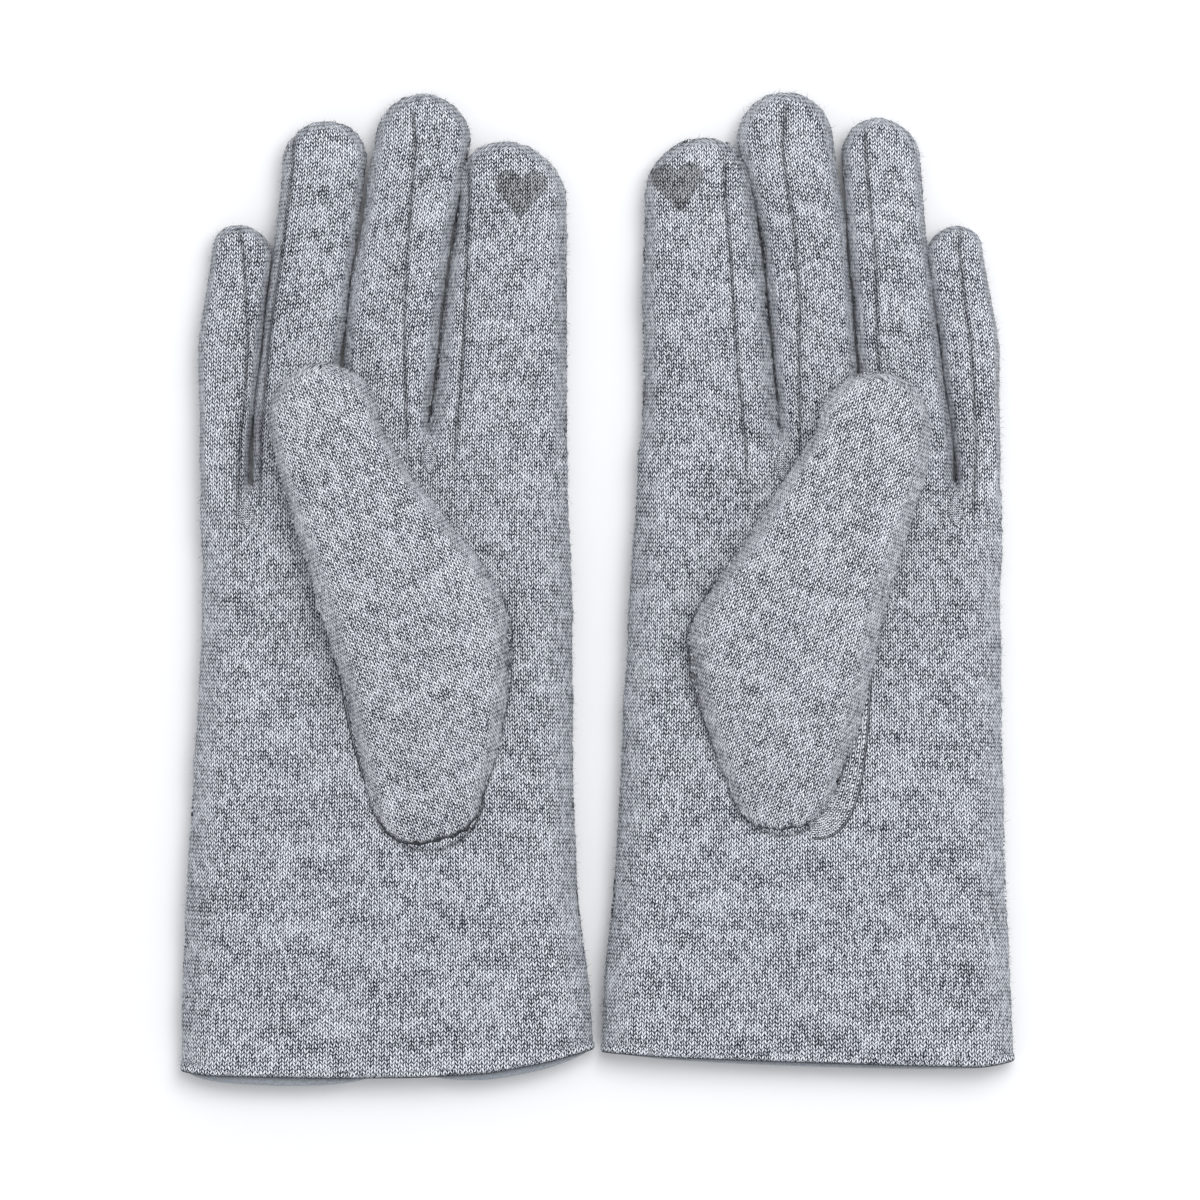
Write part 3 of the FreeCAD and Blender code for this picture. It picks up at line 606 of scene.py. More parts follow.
def finger_knit(finger, x, y, palm_wale, palm_course):
    """Wale and course near a finger, running on from the palm's."""
    across = finger.across(x, y)
    grown = ease(y, finger.crotch - 26, finger.crotch + 6)
    base = float(finger.middle(finger.crotch - 10))
    wale = palm_wale + (across + base - palm_wale) * grown
    course = palm_course + (y + across * math.tan(-finger.lean) * 0.9 - palm_course) * grown
    return wale, course


def side_count(sideways, x_side, z, low, high):
    """Extra wales that the cloth spends on going down the side, mirrored at half height."""
    return np.sign(x_side) * ease(sideways, 0.78, 1.0) * np.clip(np.minimum(high - z, z - low), 0, None)


def hand_knit(hand, points, near=None):
    x, y, z = points.T
    low, high = hand.heights(y)
    middle = (hand.left(y) + hand.right(y)) / 2
    width = hand.right(y) - hand.left(y)
    wale = (x - middle) * PALM_WALES / width + middle
    edge = np.abs(x - middle) / (width / 2)
    wale = wale + side_count(edge, x - middle, z, low, high)
    course = y + 1.2 * np.sin(x / 17.0)
    owner = hand.owner(x, y) if near is None else np.full(len(x), FINGERS.index(near))
    for spot, name in enumerate(FINGERS):
        mine = owner == spot
        finger = hand.fingers[name]
        low_f, high_f = finger.heights(y[mine])
        w, c = finger_knit(finger, x[mine], y[mine], wale[mine], course[mine])
        beside = finger.sideways(x[mine], y[mine])
        grown = ease(y[mine], finger.crotch - 8, finger.crotch + 8)
        w = w + grown * side_count(beside, finger.across(x[mine], y[mine]), z[mine], low_f, high_f)
        wale[mine], course[mine] = w, c
    return wale, course


def finger_seam_shade(hand, points):
    """How much painted shade darkens each point near a finger seam's groove on the palm side, from 0 to 1."""
    x, y, z = points.T
    seam_shade = np.zeros(len(x))
    owner = hand.owner(x, y)
    for spot, name in enumerate(FINGERS):
        mine, finger = owner == spot, hand.fingers[name]
        if finger.seams:
            distance = finger.seam_distance(x[mine], y[mine])
            fade = ease(y[mine], finger.crotch - 12, finger.crotch + 2) * ease(z[mine], 5, 8)
            seam_shade[mine] = SEAM_SHADE * np.exp(-(distance / SEAM_SHADE_WIDTH) ** 2) * fade
    return seam_shade


def thumb_seam_shade(hand, points):
    """How much painted shade darkens each palm point near the seam round the thumb, for the crease along it.
    """
    x, y, _ = points.T
    off = np.abs(hand.thumb.sideways(x, y) - 1.0) * hand.thumb.half(np.clip(y, hand.thumb.foot_y, 50))
    return THUMB_SEAM_SHADE * np.exp(-(off / SEAM_SHADE_WIDTH) ** 2) * ease(-y, -4, 4)


# %% [markdown]
# ## The hand
#
# One piece of knit from the hem up to the crotches. Its surface is cut from the field of the palm and all
# four fingers, and stops at each finger's own line. Above that line the finger's piece carries on from the
# same points, so the cloth looks unbroken.


# %% Hand and finger pieces
HAND_TOP = 46.0
CLEAR_TOP = 45.0


def hand_pieces(glove):
    hand = HANDS[glove]
    x_low, x_high = (-102, 2) if glove == "right" else (-2, 102)
    points, faces, cells = skin(hand.field, (x_low, -118.0, -1.0), (x_high, HAND_TOP, LATTICE_TOP))
    points, normals = settle(hand.field, points)
    rows = cells[:, 1]
    cut_row = np.array([round(PATTERN[glove][name]["cut"] / CELL[1]) for name in FINGERS])
    limit = cut_row[hand.owner(points[:, 0], points[:, 1])]
    below_hem = points[:, 1] < hand.hem(points[:, 0]) + 1.3
    face_rows, face_limit = rows[faces], limit[faces]
    wanted = (face_rows <= face_limit).all(axis=1) & ~below_hem[faces].all(axis=1)
    used, hand_faces = keep_faces(faces, wanted)
    p, n = points[used], normals[used]
    wale, course = hand_knit(hand, p)
    # Painted shade in the grooves of the finger seams and in the crease round the thumb.
    seam_shade = np.maximum(finger_seam_shade(hand, p), thumb_seam_shade(hand, p))
    piece = cloth_object(f"{glove}_hand", p, hand_faces, n, np.stack([wale, course, seam_shade], axis=1), KNIT)
    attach(piece, f"{glove}_hand")
    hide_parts(f"{glove}_hand_shell")
    return (p, hand_faces, n), cut_row


def in_strip(hand, name, points):
    """Which points are in one finger's strip; above CLEAR_TOP no other finger is in the same lattice box."""
    owner = hand.owner(points[:, 0], points[:, 1])
    return (owner == FINGERS.index(name)) | (points[:, 1] > CLEAR_TOP)


def finger_skin(glove, name, cut_row):
    """The cloth of one finger above its cut line, before it is split into the finger and its fourchettes."""
    hand, finger = HANDS[glove], HANDS[glove].fingers[name]
    half = finger.half(50) + 8
    x_values = [finger.middle(y) for y in (30, 60, finger.tip_y)]

    def field(x, y, z):
        return hand.with_finger(name, x, y, z)

    low = (min(x_values) - half, (cut_row - 1) * CELL[1], -1.0)
    high = (max(x_values) + half, finger.tip_y + 16, LATTICE_TOP)
    points, faces, cells = skin(field, low, high)
    points, normals = settle(field, points)
    mine = in_strip(hand, name, points)
    wanted = (cells[faces][:, :, 1] >= cut_row).all(axis=1) & mine[faces].any(axis=1)
    used, faces = keep_faces(faces, wanted)
    return points[used], faces, normals[used]


def towards(glove, name):
    """The sides of a finger that face another finger: -1 or +1 in x."""
    little_side = -1 if glove == "right" else 1
    return {"index": [little_side], "little": [-little_side]}.get(name, [-1, 1])


def bend_points(glove, name):
    """Start and end of a finger's bend, either side of its hinge."""
    joint = HINGES[f"{glove}_{name}_{'lift' if name == 'thumb' else 'bend'}"]
    place, axis = np.array(joint["pos_m"]), np.array(joint["axis"])
    along = np.array([-axis[1], axis[0], 0.0])
    before, after = {"little": (0.0022, 0.0063), "thumb": (0.006, 0.008)}.get(name, (0.0074, 0.0076))
    return place - along * before, place + along * after


def bend_with(piece, glove, name):
    start, end = bend_points(glove, name)
    tuple(start)
    tuple(end)
    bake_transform(piece)


def finger_pieces(glove, name, cut_row):
    hand, finger = HANDS[glove], HANDS[glove].fingers[name]
    points, faces, normals = finger_skin(glove, name, cut_row)
    wale, course = hand_knit(hand, points, near=name)
    middle = points[faces].mean(axis=1)
    across = finger.across(middle[:, 0], middle[:, 1])
    is_side = np.zeros(len(faces), bool)
    for side in towards(glove, name):
        hidden = side * 0.88 * finger.half(middle[:, 1])
        seam_at = finger.seams[side](middle[:, 1]) if side in finger.seams else hidden
        beyond = (across - seam_at) * side > 0
        below_tip = middle[:, 1] < finger.tip_y + 0.4 * finger.half(finger.tip_y)
        is_side |= beyond & (middle[:, 2] > 1.8) & below_tip
    distance = finger.seam_distance(points[:, 0], points[:, 1])
    # Painted shade in the finger seams' grooves, fading out round the tip.
    seam_shade = SEAM_SHADE * np.exp(-(distance / SEAM_SHADE_WIDTH) ** 2) * ease(points[:, 2], 5, 8)
    seam_shade = seam_shade * ease(-points[:, 1], -finger.tip_y - 9, -finger.tip_y - 5)
    knit = np.stack([wale, course, seam_shade], axis=1)
    for title, wanted in ((f"{glove}_{name}_finger", ~is_side), (f"{glove}_{name}_fourchette", is_side)):
        used, part_faces = keep_faces(faces, wanted)
        shift = np.array([6.35, 3.3, 0.0]) if title.endswith("fourchette") else 0.0
        piece = cloth_object(title, points[used], part_faces, normals[used], knit[used] + shift, KNIT)
        bend_with(piece, glove, name)
    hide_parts(f"{glove}_{name}_stall", f"{glove}_{name}_root")
    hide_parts(f"{glove}_{name}_fourchettes",
                *([f"{glove}_root_fourchettes"] if name == "index" else []))
    return points, faces, normals


SKINS = {}
for glove in PATTERN:
    SKINS[glove, "hand"], cut_rows = hand_pieces(glove)
    for name, row in zip(FINGERS, cut_rows):
        SKINS[glove, name] = finger_pieces(glove, name, row)
    print(glove, "faces", {name: len(SKINS[glove, name][1]) for name in ("hand",) + FINGERS})

# %% [markdown]
# ## The thumb
#
# The thumb is its own tube, set into a U-shaped hole in the palm. Folded flat it lies on the palm like a soft
# tongue: almost level at the foot of the U, and a full thumb's thickness higher towards its tip. Its stitches
# lean with it.


# %% Thumb pieces
THUMB_SHADE_TOP = 12.95        # just above the palm's own surface; the thumb is painted with crease shade below it


def thumb_knit(finger, points):
    x, y, z = points.T
    along = np.array([math.sin(finger.lean), math.cos(finger.lean)])
    origin = np.array([float(finger.middle(0)), 0.0])
    flat = np.stack([x, y], axis=1) - origin
    low, high = finger.heights(y)
    down_side = side_count(finger.sideways(x, y), finger.across(x, y), z, low, high)
    return flat @ np.array([along[1], -along[0]]) + down_side, flat @ along


def thumb_piece(glove):
    finger = HANDS[glove].thumb
    x_values = [row[1] for row in finger.stations]
    low = (min(x_values) - 26, finger.foot_y - 16, THUMB_FLOOR)
    high = (max(x_values) + 26, finger.tip_y + 16, 26.0)
    points, faces, _ = skin(finger.field, low, high)
    points, normals = settle(finger.field, points)
    wale, course = thumb_knit(finger, points)
    # Painted shade for the crease where the thumb's cloth turns down into the palm: all of the thumb below
    # that height, from its foot to about its crotch, is darkened, its underside too.
    seam_shade = 0.95 * ease(THUMB_SHADE_TOP - points[:, 2], 0.0, 0.4) * ease(-points[:, 1], -4, 12)
    knit = np.stack([wale, course, seam_shade], axis=1)
    piece = cloth_object(f"{glove}_thumb", points, faces, normals, knit, THUMB_KNIT)
    bend_with(piece, glove, "thumb")
    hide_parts(f"{glove}_thumb_base", f"{glove}_thumb_stall")
    return points, faces, normals


for glove in PATTERN:
    SKINS[glove, "thumb"] = thumb_piece(glove)
    print(glove, "thumb faces", len(SKINS[glove, "thumb"][1]))

# %% [markdown]
# ## Gusset and quirks
#
# A gusset is a narrow crescent let in beside the thumb, and a quirk is a tiny diamond sewn into each crotch,
# so that neither place pulls tight when the hand opens. Both are small pads of the same knit. Each is laid on
# the hand's own surface: a grid is drawn flat, dropped onto the field, and crowned a little in its middle.


# %% Pads that lie on the cloth
def top_of(field, x, y, start=LATTICE_TOP, floor=2.0):
    """The height of the upper surface over each point."""
    levels = np.arange(start, floor, -0.15)
    values = field(x[:, None], y[:, None], levels[None, :] + 0 * x[:, None])
    first = np.clip((values < 0).argmax(axis=1), 1, None)
    row = np.arange(len(x))
    above, below = values[row, first - 1], values[row, first]
    return levels[first - 1] - 0.15 * above / (above - below)


def grid_faces(rows, columns, closed=False):
    """Faces of a grid of points; closed joins each row's last point to its first."""
    row, column = np.meshgrid(np.arange(rows - 1), np.arange(columns - (0 if closed else 1)), indexing="ij")
    a = (row * columns + column).ravel()
    b = (row * columns + (column + 1) % columns).ravel()
    return np.stack([a, b, b + columns, a + columns], axis=1)


def round_pad(field, middle, reach, crown, edge, rings=14, spokes=72):
    """A pad about a middle point, out to reach(angle), crowned by so much; its edge sinks by edge."""
    angle = np.linspace(0, 2 * math.pi, spokes, endpoint=False)
    share = np.linspace(0, 1, rings) ** 0.9
    share[0] = 0.02
    x = middle[0] + np.outer(share, reach(angle) * np.cos(angle))
    y = middle[1] + np.outer(share, reach(angle) * np.sin(angle))
    rise = np.repeat(crown * (1 - share ** 4) - edge * ease(share, 0.9, 1.0), spokes)
    z = top_of(field, x.ravel(), y.ravel()) + rise
    points = np.stack([x.ravel(), y.ravel(), z], axis=1)
    return points, grid_faces(rings, spokes, closed=True), np.repeat(share, spokes)


def diamond(half_width, half_length, power=1.3):
    """How far a soft diamond reaches in each direction; power 1 would be straight-sided."""
    def reach(angle):
        across, along = np.abs(np.cos(angle) / half_width), np.abs(np.sin(angle) / half_length)
        return 1 / (across ** power + along ** power) ** (1 / power)
    return reach


# In millimetres: below the crotch, half width and half length, and the height of the crown.
QUIRK_DROP, QUIRK_HALVES, QUIRK_CROWN = 4.5, (2.2, 4.2), 0.45
# The last is the width in millimetres of the painted shade along the gusset's sewn edges.
GUSSET_CROWN, GUSSET_LIFT, GUSSET_SHADE_WIDTH = 0.9, 0.08, 0.6


def quirk_pads(glove):
    hand = HANDS[glove]
    points, faces, knit, start = [], [], [], 0
    for x, y in PATTERN[glove]["crotches"]:
        p, f, share = round_pad(hand.field, (x, y - QUIRK_DROP), diamond(*QUIRK_HALVES), QUIRK_CROWN, 0.25)
        turned = (p[:, 0] - x) + (p[:, 1] - y)
        points.append(p)
        faces.append(f + start)
        # Painted shade on the outer rim of each quirk, where it is sewn into the crotch and sinks in.
        knit.append(np.stack([turned, p[:, 1] - y - (p[:, 0] - x), 0.75 * ease(share, 0.80, 0.92)], axis=1))
        start += len(p)
    piece = cloth_object(f"{glove}_quirk_pads", np.concatenate(points), np.concatenate(faces), None,
                         np.concatenate(knit), KNIT)
    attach(piece, f"{glove}_hand")
    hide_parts(f"{glove}_quirks")


def gusset_strip(glove):
    hand, cut = HANDS[glove], PATTERN[glove]["gusset"]
    outer, inner = np.array(cut["outer"], float), np.array(cut["inner"], float)
    lengths, widths = np.linspace(0, 1, 90), np.linspace(0, 1, 15)

    def curve(line):
        at = np.linspace(0, 1, len(line))
        return np.stack([soft_curve(at, line[:, axis], lengths) for axis in (0, 1)], axis=1)

    side, middle = curve(outer), curve(inner)
    flat = side[:, None] + (middle - side)[:, None] * widths[None, :, None]
    x, y = flat[..., 0].ravel(), flat[..., 1].ravel()
    across, along = np.tile(widths, len(lengths)), np.repeat(lengths, len(widths))
    taper = np.sin(math.pi * np.clip(along, 0.01, 0.99)) ** 0.5
    z = top_of(hand.field, x, y) + GUSSET_CROWN * taper * (1 - (2 * across - 1) ** 4) + GUSSET_LIFT
    width_mm = np.linalg.norm(middle - side, axis=1).repeat(len(widths))
    length_mm = along * np.linalg.norm(np.diff(side, axis=0), axis=1).sum()
    # Painted shade along both sewn edges of the gusset, for the grooves of its seams.
    seam_shade = sum(0.95 * np.exp(-(share * width_mm / GUSSET_SHADE_WIDTH) ** 2) for share in (across, 1 - across))
    slant = 0.6 * across * width_mm
    knit = np.stack([across * width_mm + 4.5, length_mm + slant, np.clip(seam_shade, 0, 1)], axis=1)
    faces = grid_faces(len(lengths), len(widths))
    if glove == "left":
        faces = faces[:, ::-1]
    piece = cloth_object(f"{glove}_gusset_strip", np.stack([x, y, z], axis=1), faces, None, knit, THUMB_KNIT)
    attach(piece, f"{glove}_hand")
    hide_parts(f"{glove}_thumb_gusset")


def soft_curve(at, values, where):
    """A cubic through a few values."""
    return np.polyval(np.polyfit(at, values, 3), where)


for glove in PATTERN:
    quirk_pads(glove)
    gusset_strip(glove)

# %% [markdown]
# ## The touch patch
#
# A touchscreen only feels a fingertip that conducts. So a heart of jersey plated with conductive yarn is
# worked into each index fingertip. It is darker than the wool, a hair proud of it, and follows the finger's
# curve. Its outline is two round lobes and two straight sides that leave them at a tangent.

# %% Heart patches
HEART_WIDTH, HEART_HEIGHT, HEART_LOBE = 13.3, 12.8, 3.4
HEART_CROWN, HEART_SINK = 0.16, 0.3        # how proud its middle is, and how far its edge sinks in


def heart_reach(angle):
    """How far the heart reaches from its middle in each direction."""
    lobe_x, lobe_y = HEART_WIDTH / 2 - HEART_LOBE, HEART_HEIGHT / 2 - HEART_LOBE
    point_y = -HEART_HEIGHT / 2
    out = np.linspace(0, HEART_HEIGHT, 700)
    x, y = np.abs(np.outer(np.cos(angle), out)), np.outer(np.sin(angle), out)
    lobes = np.hypot(x - lobe_x, y - lobe_y) < HEART_LOBE
    # The straight side runs from the point to where it touches the lobe.
    reach = math.hypot(lobe_x, lobe_y - point_y)
    bearing = math.atan2(lobe_x, lobe_y - point_y) + math.asin(HEART_LOBE / reach)
    below = x * math.cos(bearing) - (y - point_y) * math.sin(bearing) < 0
    wedge = below & (y > point_y) & (y < lobe_y + 0.2) & (x < lobe_x + HEART_LOBE)
    inside = lobes | (wedge & ((y < lobe_y - 0.2) | (x < lobe_x)))
    return out[(len(out) - 1) - inside[:, ::-1].argmax(axis=1)]


def heart_patch(glove):
    hand, cut = HANDS[glove], PATTERN[glove]["heart"]
    turn = math.radians(cut["turn"])

    def field(x, y, z):
        return hand.with_finger("index", x, y, z)

    points, faces, share = round_pad(field, cut["middle"], lambda angle: heart_reach(angle - turn),
                                     HEART_CROWN, HEART_SINK, rings=22, spokes=144)
    wale, course = hand_knit(hand, points, near="index")
    # Painted shade on the heart's rim, where its edge sinks into the knit.
    knit = np.stack([wale, course, 0.45 * ease(share, 0.93, 1.0)], axis=1)
    piece = cloth_object(f"{glove}_heart_patch", points, faces, None, knit, PATCH_KNIT)
    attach(piece, f"{glove}_index")
    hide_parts(f"{glove}_touch_heart")


for glove in PATTERN:
    heart_patch(glove)

# %% [markdown]
# ## The cuff
#
# The cuff is folded in on itself and stitched once round, so its edge is a soft roll with a groove above it.
# The hem is a closed loop of cloth swept round the flat oval of the cuff. Inside it hangs the lining, a
# second flat tube, which was cut a little long and peeks out in places below the hem.


# %% Hem, lining and stitches
FIRST_GUESS = -114.0          # roughly where the cuff ends, to start finding each loop


def oval_track(flat_count=90, roll_count=26):
    """Points round a flat oval: share from left to right, reach into the side roll, lift, and side."""
    turn = np.linspace(math.pi / 2, -math.pi / 2, roll_count)
    power = np.where(turn > 0, TOP_ROUND, BACK_ROUND)
    reach = np.abs(np.cos(turn)) ** (2 / power)
    lift = np.sign(turn) * np.abs(np.sin(turn)) ** (2 / power)
    flat = np.linspace(0, 1, flat_count + 2)[1:-1]
    none, one = np.zeros(flat_count), np.ones(flat_count)
    track = [(flat, none, one, none), (np.ones(roll_count), reach, lift, np.ones(roll_count)),
             (flat[::-1], none, -one, none),
             (np.zeros(roll_count), reach[::-1], lift[::-1], -np.ones(roll_count))]
    return [np.concatenate(part) for part in zip(*track)]


def oval_loop(hand, y_of, offset):
    """One loop round the hand: y_of(x) is its height along the glove, offset is outwards from the knit."""
    share, reach, lift, side = oval_track()
    y = np.full(len(share), FIRST_GUESS)
    for _ in range(3):
        left, right = hand.left(y), hand.right(y)
        x = left + SIDE_ROLL + share * (right - left - 2 * SIDE_ROLL) + side * reach * (SIDE_ROLL + offset)
        y = y_of(x)
    low, high = hand.heights(y)
    return np.stack([x, y, (low + high) / 2 + lift * ((high - low) / 2 + offset)], axis=1)


def swept_loops(name, loops, material, body, stands_for, shade_rows=()):
    """A closed skin through the loops, each joined to the next and the last to the first."""
    count = len(loops[0])
    points = np.concatenate(loops)
    faces = grid_faces(len(loops), count, closed=True)
    last = np.arange(count) + (len(loops) - 1) * count
    first = np.arange(count)
    faces = np.concatenate([faces, np.stack([last, np.roll(last, -1), np.roll(first, -1), first], axis=1)])
    run = np.concatenate([[0], np.cumsum(np.linalg.norm(np.diff(loops[0], axis=0), axis=1))])
    down = np.cumsum([0] + [np.linalg.norm(b - a, axis=1).mean() for a, b in zip(loops, loops[1:])])
    # The listed rows get painted shade.
    seam_shade = np.array([0.9 if spot in shade_rows else 0.0 for spot in range(len(loops))])
    knit = np.stack([np.tile(run, len(loops)), -np.repeat(down, count), np.repeat(seam_shade, count)], axis=1)
    piece = cloth_object(name, points, faces, None, knit, material)
    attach(piece, body)
    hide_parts(*stands_for)
    return piece


HEM_DEPTH = 2.4
# Along the glove from the edge, and outwards from the knit: over the groove, round the edge and back inside.
HEM_PROFILE = [(3.3, -0.5), (3.1, 0.02), (2.9, 0.10), (2.6, -0.12), (2.4, -0.25), (2.2, -0.12), (1.9, 0.16),
               (1.4, 0.34), (0.9, 0.38), (0.5, 0.30), (0.2, 0.12), (0.02, -0.2), (0.0, -0.6), (0.15, -1.0),
               (0.6, -1.3), (2.0, -1.45), (6.0, -1.5), (12.0, -1.5), (12.0, -1.3), (6.0, -1.2), (3.6, -0.9)]
HEM_SHADE_ROWS = (3, 4, 5, 10, 11, 12)      # painted shade: the groove, and the shadow where the edge turns in over the lining
LINING_OUT, LINING_IN = -1.65, -2.5        # its two faces, outwards from the knit
LINING_TOP = 14.0             # the hand's lining ends below the crotches


def cuff_pieces(glove):
    hand = HANDS[glove]
    loops = [oval_loop(hand, lambda x, rise=rise: hand.hem(x) + rise, offset) for rise, offset in HEM_PROFILE]
    swept_loops(f"{glove}_hem", loops, KNIT, f"{glove}_hand", [f"{glove}_cuff_hem"],
                HEM_SHADE_ROWS)

    def lip(x):
        y = hand.hem(x) + 0.9
        for first, last, most in PATTERN[glove]["peeks"]:
            t = np.clip((x - first) / (last - first), 0, 1)
            y = y - (0.9 + most) * np.sin(math.pi * t) ** 0.4
        return y

    def at(share):
        return lambda x: lip(x) + (LINING_TOP - lip(x)) * share

    ups = [0.0, 0.004, 0.01, 0.02, 0.05, 0.1, 0.2, 0.35, 0.5, 0.65, 0.8, 0.92, 1.0]
    outside = [oval_loop(hand, at(share), LINING_OUT) for share in ups[::-1][:-1]]
    edge = [oval_loop(hand, at(share), offset) for share, offset in
            ((0.002, LINING_OUT - 0.05), (0.0, (LINING_OUT + LINING_IN) / 2), (0.002, LINING_IN + 0.05))]
    inside = [oval_loop(hand, at(share), LINING_IN) for share in ups[1:]]
    swept_loops(f"{glove}_hand_lining_tube", outside + edge + inside, LINING, f"{glove}_hand",
                [f"{glove}_hand_lining", f"{glove}_root_linings"])
    hem_stitches(glove)


STITCH_PITCH, STITCH_LENGTH, THREAD_RADIUS = 2.1, 1.5, 0.16


def hem_stitches(glove):
    """One row of short stitches in the groove: each dips into the cloth at both ends."""
    hand = HANDS[glove]
    line = oval_loop(hand, lambda x: hand.hem(x) + HEM_DEPTH, -0.12)
    line = np.vstack([line, line[:1]])
    run = np.concatenate([[0], np.cumsum(np.linalg.norm(np.diff(line, axis=0), axis=1))])
    points, faces, start = [], [], 0
    sides, steps = 6, 7
    turn = np.linspace(0, 2 * math.pi, sides, endpoint=False)
    for first in np.arange(0, run[-1] - STITCH_PITCH, STITCH_PITCH):
        share = np.linspace(0, 1, steps)
        at = first + share * STITCH_LENGTH
        core = np.stack([np.interp(at, run, line[:, axis]) for axis in range(3)], axis=1)
        ahead = core[-1] - core[0]
        ahead /= np.linalg.norm(ahead)
        along_glove = np.array([0.0, 1.0, 0.0])
        out = np.cross(ahead, along_glove)
        out /= np.linalg.norm(out)
        core = core + out * (0.14 * np.sin(math.pi * share) - 0.10)[:, None]
        round_off = THREAD_RADIUS * np.sqrt(np.clip(1 - (2 * share - 1) ** 6, 0.05, 1))
        ring = core[:, None] + round_off[:, None, None] * (np.cos(turn)[None, :, None] * out
                                                            + np.sin(turn)[None, :, None] * along_glove)
        points.append(ring.reshape(-1, 3))
        faces.append(grid_faces(steps, sides, closed=True) + start)
        start += steps * sides
    piece = cloth_object(f"{glove}_hem_thread", np.concatenate(points), np.concatenate(faces),
                         material=THREAD)
    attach(piece, f"{glove}_hand")
    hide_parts(f"{glove}_hem_stitch")


for glove in PATTERN:
    cuff_pieces(glove)

# %% [markdown]
# ## Linings of the fingers and thumbs
#
# Each finger holds a sleeve of brushed jersey, a wall's thickness inside the knit. It comes from the same
# field, a fixed distance further in and on a coarser lattice, because nobody sees it.

# %% Inner sleeves
LINING_DEPTH = 1.7


def inner_sleeve(glove, name):
    hand = HANDS[glove]
    finger = hand.thumb if name == "thumb" else hand.fingers[name]

    def field(x, y, z):
        outer = finger.field(x, y, z) if name == "thumb" else hand.with_finger(name, x, y, z)
        return outer + LINING_DEPTH

    reach = [row[1] for row in finger.stations]
    floor_y = finger.foot_y - 16 if name == "thumb" else PATTERN[glove][name]["cut"]
    low = (min(reach) - 26, floor_y, -1.0)
    high = (max(reach) + 26, finger.tip_y + 16, 26.0)
    points, faces, _ = skin(field, low, high, CELL * 2)
    points, normals = settle(field, points)
    if name != "thumb":
        mine = in_strip(hand, name, points)
        used, faces = keep_faces(faces, mine[faces].all(axis=1))
        points, normals = points[used], normals[used]
    knit = np.stack([points[:, 0] - finger.middle(points[:, 1]), points[:, 1], 0 * points[:, 0]], axis=1)
    piece = cloth_object(f"{glove}_{name}_sleeve", points, faces, normals, knit, LINING)
    bend_with(piece, glove, name)
    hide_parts(f"{glove}_{name}_lining", *([f"{glove}_thumb_base_lining"] if name == "thumb" else []))


for glove in PATTERN:
    for name in FINGERS + ("thumb",):
        inner_sleeve(glove, name)

# %% [markdown]
# ## Loose fibres
#
# Brushed wool keeps a halo of loose fibre ends, half a millimetre to a millimetre and a half long. Hair
# particles would draw them, but they aren't a mesh and wouldn't travel with the model. So each fibre is a
# thin tapered ribbon of real faces. They are drawn about three times as thick as wool so that they show at
# this distance.

# %% Fuzz
FIBRE_WIDTH = 0.075
FIBRES_PER_CM2 = 60
FIBRE_SHORTEST, FIBRE_LONGEST = 0.5, 1.6
FIBRE_LEAN, FIBRE_CURL = 0.55, 0.45
FIBRE_FLOOR = 0.3             # no fibre reaches down to the table


def loose_fibres(glove, part, seed):
    points, faces, normals = SKINS[glove, part]
    draw = np.random.default_rng(seed)
    corner = points[faces]
    area = np.linalg.norm(np.cross(corner[:, 2] - corner[:, 0], corner[:, 3] - corner[:, 1]), axis=1) / 2
    open_side = area * (corner[:, :, 2].mean(axis=1) > 1.6)
    count = int(open_side.sum() / 100 * FIBRES_PER_CM2)
    pick = draw.choice(len(faces), count, p=open_side / open_side.sum())
    a, b = draw.random((2, count, 1))
    c = corner[pick]
    root = (c[:, 0] * (1 - a) + c[:, 1] * a) * (1 - b) + (c[:, 3] * (1 - a) + c[:, 2] * a) * b
    up = normals[faces[pick]].mean(axis=1)
    up /= np.linalg.norm(up, axis=1)[:, None]
    lean = draw.normal(size=(count, 3))
    lean -= (lean * up).sum(axis=1)[:, None] * up
    way = up * draw.uniform(0.25, 0.9, (count, 1)) + FIBRE_LEAN * lean
    way /= np.linalg.norm(way, axis=1)[:, None]
    curl = draw.normal(size=(count, 3)) * FIBRE_CURL
    length = draw.uniform(FIBRE_SHORTEST, FIBRE_LONGEST, (count, 1))
    beside = np.cross(way, draw.normal(size=(count, 3)))
    beside /= np.linalg.norm(beside, axis=1)[:, None]
    rows = []
    for share, width in ((-0.15, 1.0), (0.3, 0.9), (0.65, 0.65), (1.0, 0.15)):
        core = root + length * (way * share + curl * share ** 2 * 0.5)
        core[:, 2] = np.maximum(core[:, 2], FIBRE_FLOOR)
        rows += [core - beside * width * FIBRE_WIDTH / 2, core + beside * width * FIBRE_WIDTH / 2]
    strip = np.stack(rows, axis=1).reshape(-1, 3)
    base = np.arange(count)[:, None] * 8
    quads = np.concatenate([base + np.array([[k, k + 1, k + 3, k + 2]]) for k in (0, 2, 4)])
    piece = cloth_object(f"{glove}_{part}_fibres", strip, quads, None, None, FIBRE)
    if part == "hand":
        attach(piece, f"{glove}_hand")
    else:
        bend_with(piece, glove, part)
    return count


for side, glove in enumerate(PATTERN):
    print(glove, "fibres", [loose_fibres(glove, part, 100 * side + spot)
                            for spot, part in enumerate(("hand",) + FINGERS + ("thumb",))])

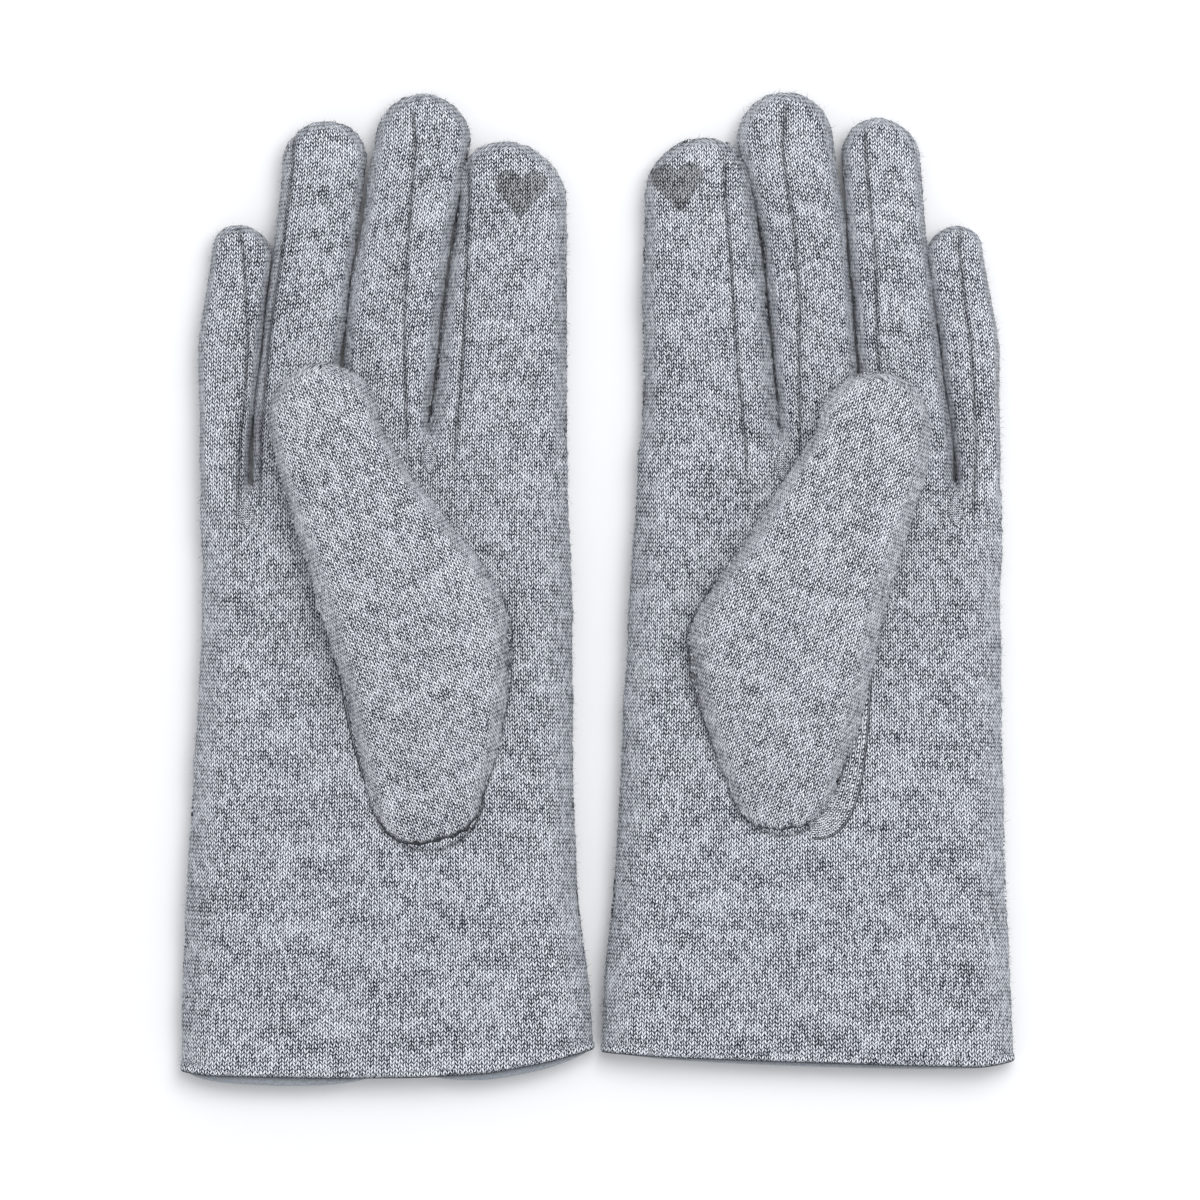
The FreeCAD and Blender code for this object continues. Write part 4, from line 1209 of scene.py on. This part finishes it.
# %% [markdown]
# ## Table, light and camera
#
# The pair lies on a plain near-white table under one very large soft light from above, and the camera looks
# straight down. The display transform is set to Standard, so greys come out as they are mixed.

# %% Stage
CAMERA_HEIGHT = 2.0
VIEW_WIDTH = 0.2854
WORLD_STRENGTH = 0.74
SOFTBOX_PLACE, SOFTBOX_SIDE, SOFTBOX_WATTS = (0.35, 0.45, 1.3), 0.9, 11.5
SENSOR = 36.0

table_mesh = bpy.data.meshes.new("table_top")
reach = 3.0
corners = [(-reach, -reach, 0), (reach, -reach, 0), (reach, reach, 0), (-reach, reach, 0)]
table_mesh.from_pydata(corners, [], [(0, 1, 2, 3)])
table_top = bpy.data.objects.new("table_top", table_mesh)
bpy.context.scene.collection.objects.link(table_top)
paint = bpy.data.materials.new("matt_white_paint")
paint.use_nodes = True
paint.node_tree.nodes["Principled BSDF"].inputs["Base Color"].default_value = linear("f6f6f6")
paint.node_tree.nodes["Principled BSDF"].inputs["Roughness"].default_value = 0.9
table_mesh.materials.append(paint)

bpy.context.scene.view_settings.view_transform = "Standard"
world = bpy.data.worlds.new("studio")
bpy.context.scene.world = world
world.use_nodes = True
world.node_tree.nodes["Background"].inputs["Color"].default_value = linear("fafbff")
world.node_tree.nodes["Background"].inputs["Strength"].default_value = WORLD_STRENGTH


def soft_light(name, place, size, power):
    """A square softbox that faces the middle of the table."""
    lamp = bpy.data.lights.new(name, "AREA")
    lamp.energy, lamp.size = power, size
    holder = bpy.data.objects.new(name, lamp)
    bpy.context.scene.collection.objects.link(holder)
    holder.location = place
    tilt = math.atan2(math.hypot(place[0], place[1]), place[2])
    holder.rotation_euler = (tilt, 0, math.atan2(place[0], -place[1]))


soft_light("overhead", SOFTBOX_PLACE, SOFTBOX_SIDE, SOFTBOX_WATTS)

camera_data = bpy.data.cameras.new("camera")
camera_data.sensor_width = SENSOR
camera_data.lens = SENSOR * CAMERA_HEIGHT / VIEW_WIDTH
camera_data.clip_end = 20.0
camera = bpy.data.objects.new("camera", camera_data)
camera.location = (0.00036, -0.0031, CAMERA_HEIGHT)
bpy.context.scene.collection.objects.link(camera)
bpy.context.scene.camera = camera
